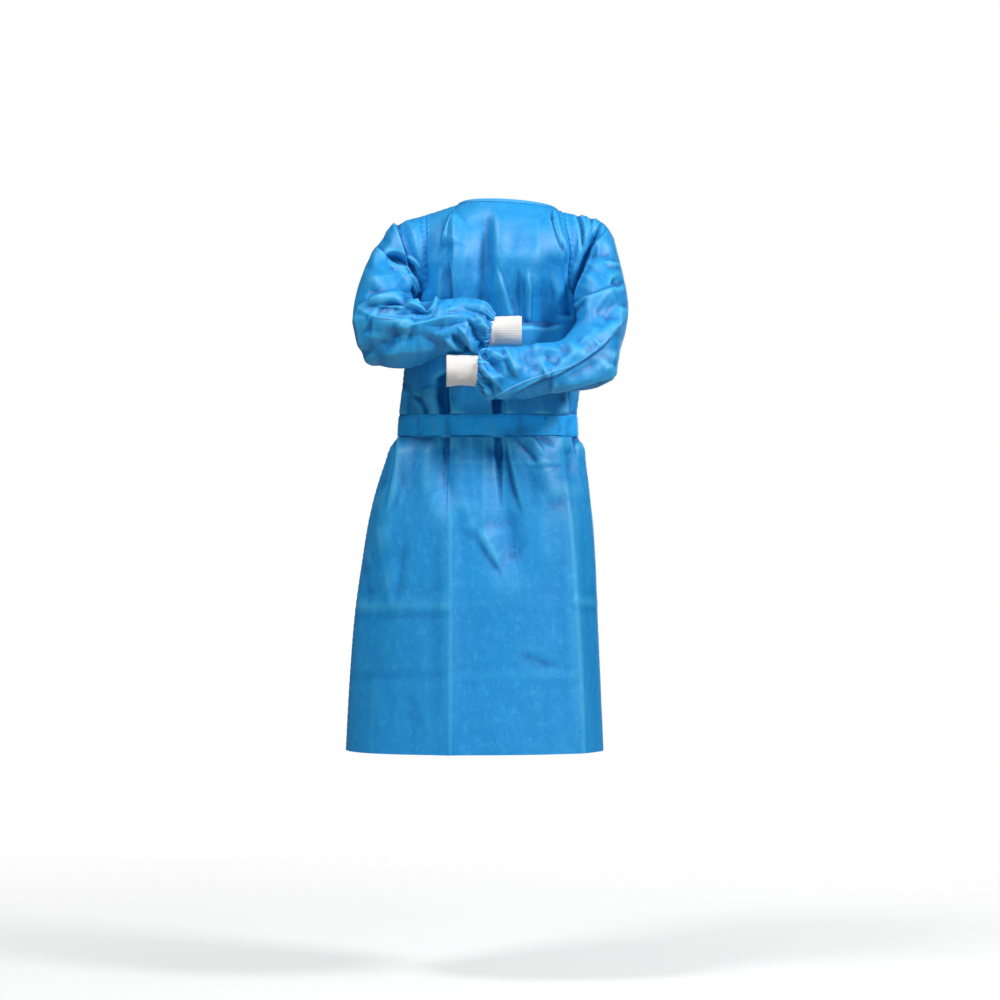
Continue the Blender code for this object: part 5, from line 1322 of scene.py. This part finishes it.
def reckon(tree, operation, *values, clamp=False):
    """A sum worked out by a Math node, from sockets or plain numbers."""
    node = tree.nodes.new("ShaderNodeMath")
    node.operation = operation
    node.use_clamp = clamp
    for socket, value in zip(node.inputs, values):
        if isinstance(value, (int, float)):
            socket.default_value = value
        else:
            tree.links.new(value, socket)
    return node.outputs[0]


def blended(tree, share, first, second, mode="MIX"):
    """Two colours blended by a share."""
    node = tree.nodes.new("ShaderNodeMix")
    node.data_type = "RGBA"
    node.blend_type = mode
    for socket, value in zip((node.inputs[0], node.inputs[6], node.inputs[7]), (share, first, second)):
        if isinstance(value, (int, float)):
            socket.default_value = value
        elif isinstance(value, tuple):
            socket.default_value = (*value, 1.0)
        else:
            tree.links.new(value, socket)
    return node.outputs[2]


def nonwoven_group():
    """Pressed nonwoven cloth: a fine speckle of bonded fibres, faint streaks down the cloth, small
    paper-like crumples, painted highlight along ridges, painted shade in troughs and pale
    patches of painted sheen."""
    tree, given, result = group(
        "nonwoven cloth",
        (("Face", "Color", (*CLOTH_FACE, 1)), ("Deep", "Color", (*CLOTH_PAINTED_SHADE, 1)),
         ("Pale", "Color", (*CLOTH_PAINTED_HIGHLIGHT, 1)), ("Fold", "Float", 0.0), ("Crumple", "Float", 1.0)),
        (("Color", "Color"), ("Roughness", "Float"), ("Height", "Float")))
    place = tree.nodes.new("ShaderNodeTexCoord").outputs["Object"]
    speckle = noise(tree, place, (1, 1, 1), 520.0, 2.0, 0.7)
    fibres = noise(tree, place, (1, 1, 0.06), 300.0, 3.0, 0.6)
    mottle = noise(tree, place, (1, 1, 0.70), 70.0, 6.0, 0.75)
    cloud = noise(tree, place, (1, 1, 0.5), 9.0, 3.0, 0.5)
    crumple = noise(tree, place, (1, 1, 0.7), 42.0, 5.0, 0.55)
    warp = tree.nodes.new("ShaderNodeVectorMath")
    warp.operation = "MULTIPLY_ADD"
    warp.inputs[1].default_value = (0.02, 0.02, 0.02)
    warp_noise = tree.nodes.new("ShaderNodeTexNoise")
    warp_noise.inputs["Scale"].default_value = 30.0
    tree.links.new(place, warp_noise.inputs["Vector"])
    tree.links.new(warp_noise.outputs["Color"], warp.inputs[0])
    tree.links.new(place, warp.inputs[2])
    facets = tree.nodes.new("ShaderNodeTexVoronoi")
    facets.feature = "DISTANCE_TO_EDGE"
    facets.inputs["Scale"].default_value = 26.0
    tree.links.new(warp.outputs[0], facets.inputs["Vector"])
    ridge = reckon(tree, "SUBTRACT", 1.0, reckon(tree, "MULTIPLY", facets.outputs["Distance"], 6.0, clamp=True))
    ridge = reckon(tree, "POWER", ridge, 3.0)
    bonds = tree.nodes.new("ShaderNodeTexVoronoi")
    bonds.inputs["Scale"].default_value = 560.0
    tree.links.new(place, bonds.inputs["Vector"])
    # Fold picks the colour: painted highlight on ridges, painted shade in troughs
    up = reckon(tree, "MULTIPLY", given.outputs["Fold"], 0.85, clamp=True)
    down = reckon(tree, "MULTIPLY", given.outputs["Fold"], -0.85, clamp=True)
    colour = blended(tree, down, given.outputs["Face"], given.outputs["Deep"])
    colour = blended(tree, up, colour, given.outputs["Pale"])
    shade = reckon(tree, "ADD", reckon(tree, "MULTIPLY", speckle, 0.30),
                   reckon(tree, "MULTIPLY", fibres, 0.10))
    shade = reckon(tree, "ADD", shade, reckon(tree, "MULTIPLY", cloud, 0.20))
    shade = reckon(tree, "ADD", shade, reckon(tree, "MULTIPLY", mottle, 0.24))
    shade = reckon(tree, "ADD", shade, 0.58)
    # Pale patches where the mottle is high: painted sheen
    painted_sheen = reckon(tree, "MULTIPLY", reckon(tree, "SUBTRACT", mottle, 0.52), 2.2, clamp=True)
    colour = blended(tree, painted_sheen, colour, given.outputs["Pale"])
    tint = tree.nodes.new("ShaderNodeVectorMath")
    tint.operation = "SCALE"
    tree.links.new(colour, tint.inputs[0])
    tree.links.new(shade, tint.inputs["Scale"])
    tree.links.new(tint.outputs[0], result.inputs["Color"])
    rough = reckon(tree, "ADD", reckon(tree, "MULTIPLY", speckle, 0.14), 0.40)
    rough = reckon(tree, "ADD", rough, reckon(tree, "MULTIPLY", mottle, 0.14))
    tree.links.new(rough, result.inputs["Roughness"])
    height = reckon(tree, "MULTIPLY", crumple, 0.0015)
    height = reckon(tree, "ADD", height, reckon(tree, "MULTIPLY", ridge, 0.00015))
    height = reckon(tree, "MULTIPLY", height, given.outputs["Crumple"])
    height = reckon(tree, "ADD", height, reckon(tree, "MULTIPLY", bonds.outputs["Distance"], 0.00012))
    height = reckon(tree, "ADD", height, reckon(tree, "MULTIPLY", fibres, 0.00006))
    tree.links.new(height, result.inputs["Height"])
    return tree


def knit_group():
    """Rib knit: slanted loops along each rib, from the cuff's own turn and run, with painted
    highlight on the crests of the ribs and painted shade between them and in the pinches, from Fold.
    """
    tree, given, result = group(
        "rib knit",
        (("Face", "Color", (*KNIT_FACE, 1)), ("Fold", "Float", 0.0), ("Around", "Float", 0.0),
         ("Run", "Float", 0.0)),
        (("Color", "Color"), ("Roughness", "Float"), ("Height", "Float")))
    place = tree.nodes.new("ShaderNodeTexCoord").outputs["Object"]
    fuzz = noise(tree, place, (1, 1, 1), 700.0, 3.0, 0.7)
    turn = reckon(tree, "MULTIPLY", given.outputs["Around"], 2 * np.pi * 54)
    lean = reckon(tree, "ABSOLUTE", reckon(tree, "SINE", turn))
    loops = reckon(tree, "SINE", reckon(tree, "ADD", reckon(tree, "MULTIPLY", given.outputs["Run"], 260.0),
                                        reckon(tree, "MULTIPLY", lean, 2.2)))
    # Fold adds painted highlight on rib crests and painted shade in the grooves; loops and fuzz are the knit's
    # own tone
    shade = reckon(tree, "ADD", reckon(tree, "MULTIPLY", given.outputs["Fold"], 0.10),
                   reckon(tree, "MULTIPLY", loops, 0.03))
    shade = reckon(tree, "ADD", shade, reckon(tree, "MULTIPLY", fuzz, 0.08))
    shade = reckon(tree, "ADD", shade, 0.93)
    tint = tree.nodes.new("ShaderNodeVectorMath")
    tint.operation = "SCALE"
    tree.links.new(given.outputs["Face"], tint.inputs[0])
    tree.links.new(shade, tint.inputs["Scale"])
    tree.links.new(tint.outputs[0], result.inputs["Color"])
    tree.links.new(reckon(tree, "ADD", reckon(tree, "MULTIPLY", fuzz, 0.14), 0.78), result.inputs["Roughness"])
    height = reckon(tree, "ADD", reckon(tree, "MULTIPLY", loops, 0.00022),
                    reckon(tree, "MULTIPLY", fuzz, 0.00022))
    tree.links.new(height, result.inputs["Height"])
    return tree


def finish(name, tree, sockets, attributes, sheen, strength):
    """A material from a group: its colours set on the group, its attributes read from the piece."""
    material = bpy.data.materials.new(name)
    material.use_nodes = True
    nodes, links = material.node_tree.nodes, material.node_tree.links
    shader = nodes["Principled BSDF"]
    shader.inputs["Metallic"].default_value = 0.0
    shader.inputs["Specular IOR Level"].default_value = 0.65
    shader.inputs["Sheen Weight"].default_value = sheen
    shader.inputs["Sheen Roughness"].default_value = 0.45
    look = nodes.new("ShaderNodeGroup")
    look.node_tree = tree
    for label, value in sockets.items():
        look.inputs[label].default_value = (*value, 1.0) if isinstance(value, tuple) else value
    for label, key in attributes.items():
        source = nodes.new("ShaderNodeAttribute")
        source.attribute_name = key
        links.new(source.outputs["Fac"], look.inputs[label])
    bump = nodes.new("ShaderNodeBump")
    bump.inputs["Strength"].default_value = strength
    bump.inputs["Distance"].default_value = 1.0
    links.new(look.outputs["Color"], shader.inputs["Base Color"])
    links.new(look.outputs["Roughness"], shader.inputs["Roughness"])
    links.new(look.outputs["Height"], bump.inputs["Height"])
    links.new(bump.outputs["Normal"], shader.inputs["Normal"])
    return material


def add_stage():
    """A pale round floor that fades into the room: its cover is
    0.55 (1 - ease((r - 0.4 m) / 2.8 m))."""
    rings, sides, reach, level = 24, 96, 3.4, -1.60
    turn = np.linspace(0, 2 * np.pi, sides, endpoint=False)
    radii = np.linspace(0.02, reach, rings)
    points = np.stack((radii[:, None] * np.cos(turn), radii[:, None] * np.sin(turn),
                       level + 0 * radii[:, None] * turn), axis=-1).reshape(-1, 3)
    points = np.concatenate((points, [(0.0, 0.0, level)]))
    index = np.arange(rings * sides).reshape(rings, sides)
    index = np.hstack((index, index[:, :1]))
    middle = np.stack((index[0, 1:], index[0, :-1], np.full(sides, rings * sides)), axis=-1)
    tree, _, result = group("studio floor", (), (("Color", "Color"), ("Cover", "Float")))
    place = tree.nodes.new("ShaderNodeTexCoord").outputs["Object"]
    far = tree.nodes.new("ShaderNodeVectorMath")
    far.operation = "LENGTH"
    flat = tree.nodes.new("ShaderNodeVectorMath")
    flat.operation = "MULTIPLY"
    flat.inputs[1].default_value = (1.0, 1.0, 0.0)
    tree.links.new(place, flat.inputs[0])
    tree.links.new(flat.outputs[0], far.inputs[0])
    share = tree.nodes.new("ShaderNodeMapRange")
    share.interpolation_type = "SMOOTHSTEP"
    for label, value in (("From Min", 0.4), ("From Max", 3.2), ("To Min", 0.55), ("To Max", 0.0)):
        share.inputs[label].default_value = value
    tree.links.new(far.outputs["Value"], share.inputs["Value"])
    tree.links.new(share.outputs["Result"], result.inputs["Cover"])
    grain = reckon(tree, "ADD", reckon(tree, "MULTIPLY", noise(tree, place, (1, 1, 1), 3.0, 2.0), 0.02), 0.93)
    tree.links.new(grain, result.inputs["Color"])
    material = bpy.data.materials.new("studio floor")
    material.use_nodes = True
    nodes, links = material.node_tree.nodes, material.node_tree.links
    shader = nodes["Principled BSDF"]
    look = nodes.new("ShaderNodeGroup")
    look.node_tree = tree
    links.new(look.outputs["Color"], shader.inputs["Base Color"])
    links.new(look.outputs["Cover"], shader.inputs["Alpha"])
    shader.inputs["Roughness"].default_value = 0.9
    shader.inputs["Specular IOR Level"].default_value = 0.1
    add_piece("studio_floor", points, [cells(index), middle], material)


def add_lights():
    """Plain soft studio light: a large key light from the upper right in front of the gown, weaker
    ones from the upper left, the front and the back, a soft room and a white surround."""
    world = bpy.data.worlds.new("studio")
    world.use_nodes = True
    nodes, links = world.node_tree.nodes, world.node_tree.links
    room = nodes["Background"]
    room.inputs["Color"].default_value = (0.97, 0.985, 1.0, 1.0)
    room.inputs["Strength"].default_value = ROOM_LIGHT
    surround = nodes.new("ShaderNodeBackground")
    surround.inputs["Color"].default_value = (1.0, 1.0, 1.0, 1.0)
    surround.inputs["Strength"].default_value = 1.0
    shown = nodes.new("ShaderNodeMixShader")
    links.new(nodes.new("ShaderNodeLightPath").outputs["Is Camera Ray"], shown.inputs[0])
    links.new(room.outputs[0], shown.inputs[1])
    links.new(surround.outputs[0], shown.inputs[2])
    links.new(shown.outputs[0], nodes["World Output"].inputs["Surface"])
    world.cycles_visibility.glossy = False
    bpy.context.scene.world = world
    for name, place, aim, size, power, glossy in LIGHTS:
        light = bpy.data.lights.new(name, "AREA")
        light.size = size
        light.energy = power
        lamp = bpy.data.objects.new(name, light)
        lamp.visible_glossy = glossy
        lamp.location = place
        direction = np.array(place) - np.array(aim)
        lamp.rotation_euler = (np.arctan2(np.hypot(direction[0], direction[1]), direction[2]), 0.0,
                               np.arctan2(direction[0], -direction[1]))
        bpy.context.scene.collection.objects.link(lamp)
    bpy.context.scene.view_settings.view_transform = "Standard"


def add_camera():
    """A level camera 7 m in front, whose frame is 2.06 m wide at the gown."""
    camera = bpy.data.cameras.new("camera")
    camera.lens = CAMERA_LENS
    camera.sensor_width = 36
    holder = bpy.data.objects.new("camera", camera)
    holder.location = CAMERA_PLACE
    holder.rotation_euler = (np.pi / 2, 0.0, 0.0)
    bpy.context.scene.collection.objects.link(holder)
    bpy.context.scene.camera = holder


def place(piece, nodes, slot):
    """Makes a piece ride with the gown and stand for its solid. slot is not used."""
    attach(piece, "root")
    if nodes:
        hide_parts(*nodes)


def main():
    """Builds the dressed gown."""
    nonwoven, knit = nonwoven_group(), knit_group()
    fold = {"Fold": "fold"}
    cloth = finish("gown cloth", nonwoven, {}, fold, 0.02, 1.0)
    belt_cloth = finish("belt cloth", nonwoven, {"Face": BELT_FACE_WITH_PAINTED_LIGHT, "Crumple": 0.20}, fold, 0.02, 1.0)
    tape = finish("binding tape", nonwoven, {"Face": TAPE_FACE, "Crumple": 0.2}, fold, 0.05, 1.0)
    thread = finish("seam thread", nonwoven, {"Face": TAPE_FACE, "Pale": THREAD, "Crumple": 0.0},
                    fold, 0.10, 1.0)
    knitted = finish("cuff knit", knit, {}, {"Fold": "fold", "Around": "around", "Run": "run"}, 0.2, 1.0)

    front, front_face = front_panel(cloth)
    (right, right_face), (left, left_face), over = back_panels(cloth)
    sleeve_right, right_form, right_path = sleeve("right", cloth)
    sleeve_left, left_form, left_path = sleeve("left", cloth)
    for piece, node, flat, area, held_by in (
            (front, "front_panel", (0.72, 1.16), 0.640, ["neck_binding", "belt_band"]),
            (right, "back_panel_right", (0.40, 1.15), 0.355, ["neck_binding", "belt_band"]),
            (left, "back_panel_left", (0.40, 1.15), 0.360, ["neck_binding", "belt_band"]),
            (sleeve_right, "sleeve_right", (0.58, 0.60), 0.205, ["gown_front", "cuff_right"]),
            (sleeve_left, "sleeve_left", (0.59, 0.68), 0.215, ["gown_front", "cuff_left"])):
        place(piece, [node], "gown_cloth")

    for side, path, width in (("right", right_path, 0.185), ("left", left_path, 0.198)):
        piece = cuff(side, path, knitted)
        place(piece, ["cuff_" + side], "cuff_knit")

    for side, (face, out), line in (("right", right_form, SEAM_SLEEVE_RIGHT),
                                    ("left", left_form, SEAM_SLEEVE_LEFT)):
        seam = overlocked_seam("gown_seam_" + side, face, out, line, thread)
        place(seam, [], "gown_cloth")

    binding, (edge, out, up) = neck_binding(*neck_edge(front_face, right_face, left_face), tape)
    place(binding, ["neck_binding"], "binding_tape")
    picks = np.arange(2, len(edge) - 6, 4)
    stand = out * 0.0013
    threads = thread_loops(edge[picks] + up[picks] * 0.0005 + stand[picks],
                           edge[picks + 2] + up[picks + 2] * 0.0016 + stand[picks + 2],
                           out[picks], 0.00034, 0.0003)
    stitches = add_piece("gown_neck_stitches", *threads, thread, {"fold": np.ones(len(threads[0]))})
    place(stitches, [], "binding_tape")

    belt, belt_face, belt_out = belt_band(belt_cloth)
    place(belt, ["belt_band"], "belt_cloth")
    marks = belt_marks(belt_face, belt_out, thread)
    place(marks, [], "belt_cloth")

    made = ties(over, belt_cloth, tape)
    for node, piece in made.items():
        place(piece, [node], "belt_cloth" if node.startswith("belt") else "binding_tape")
        if "tail" in node:
            flat = (0.034, 0.30) if node.startswith("belt") else (0.010, 0.16)

    add_stage()
    add_lights()
    add_camera()


main()
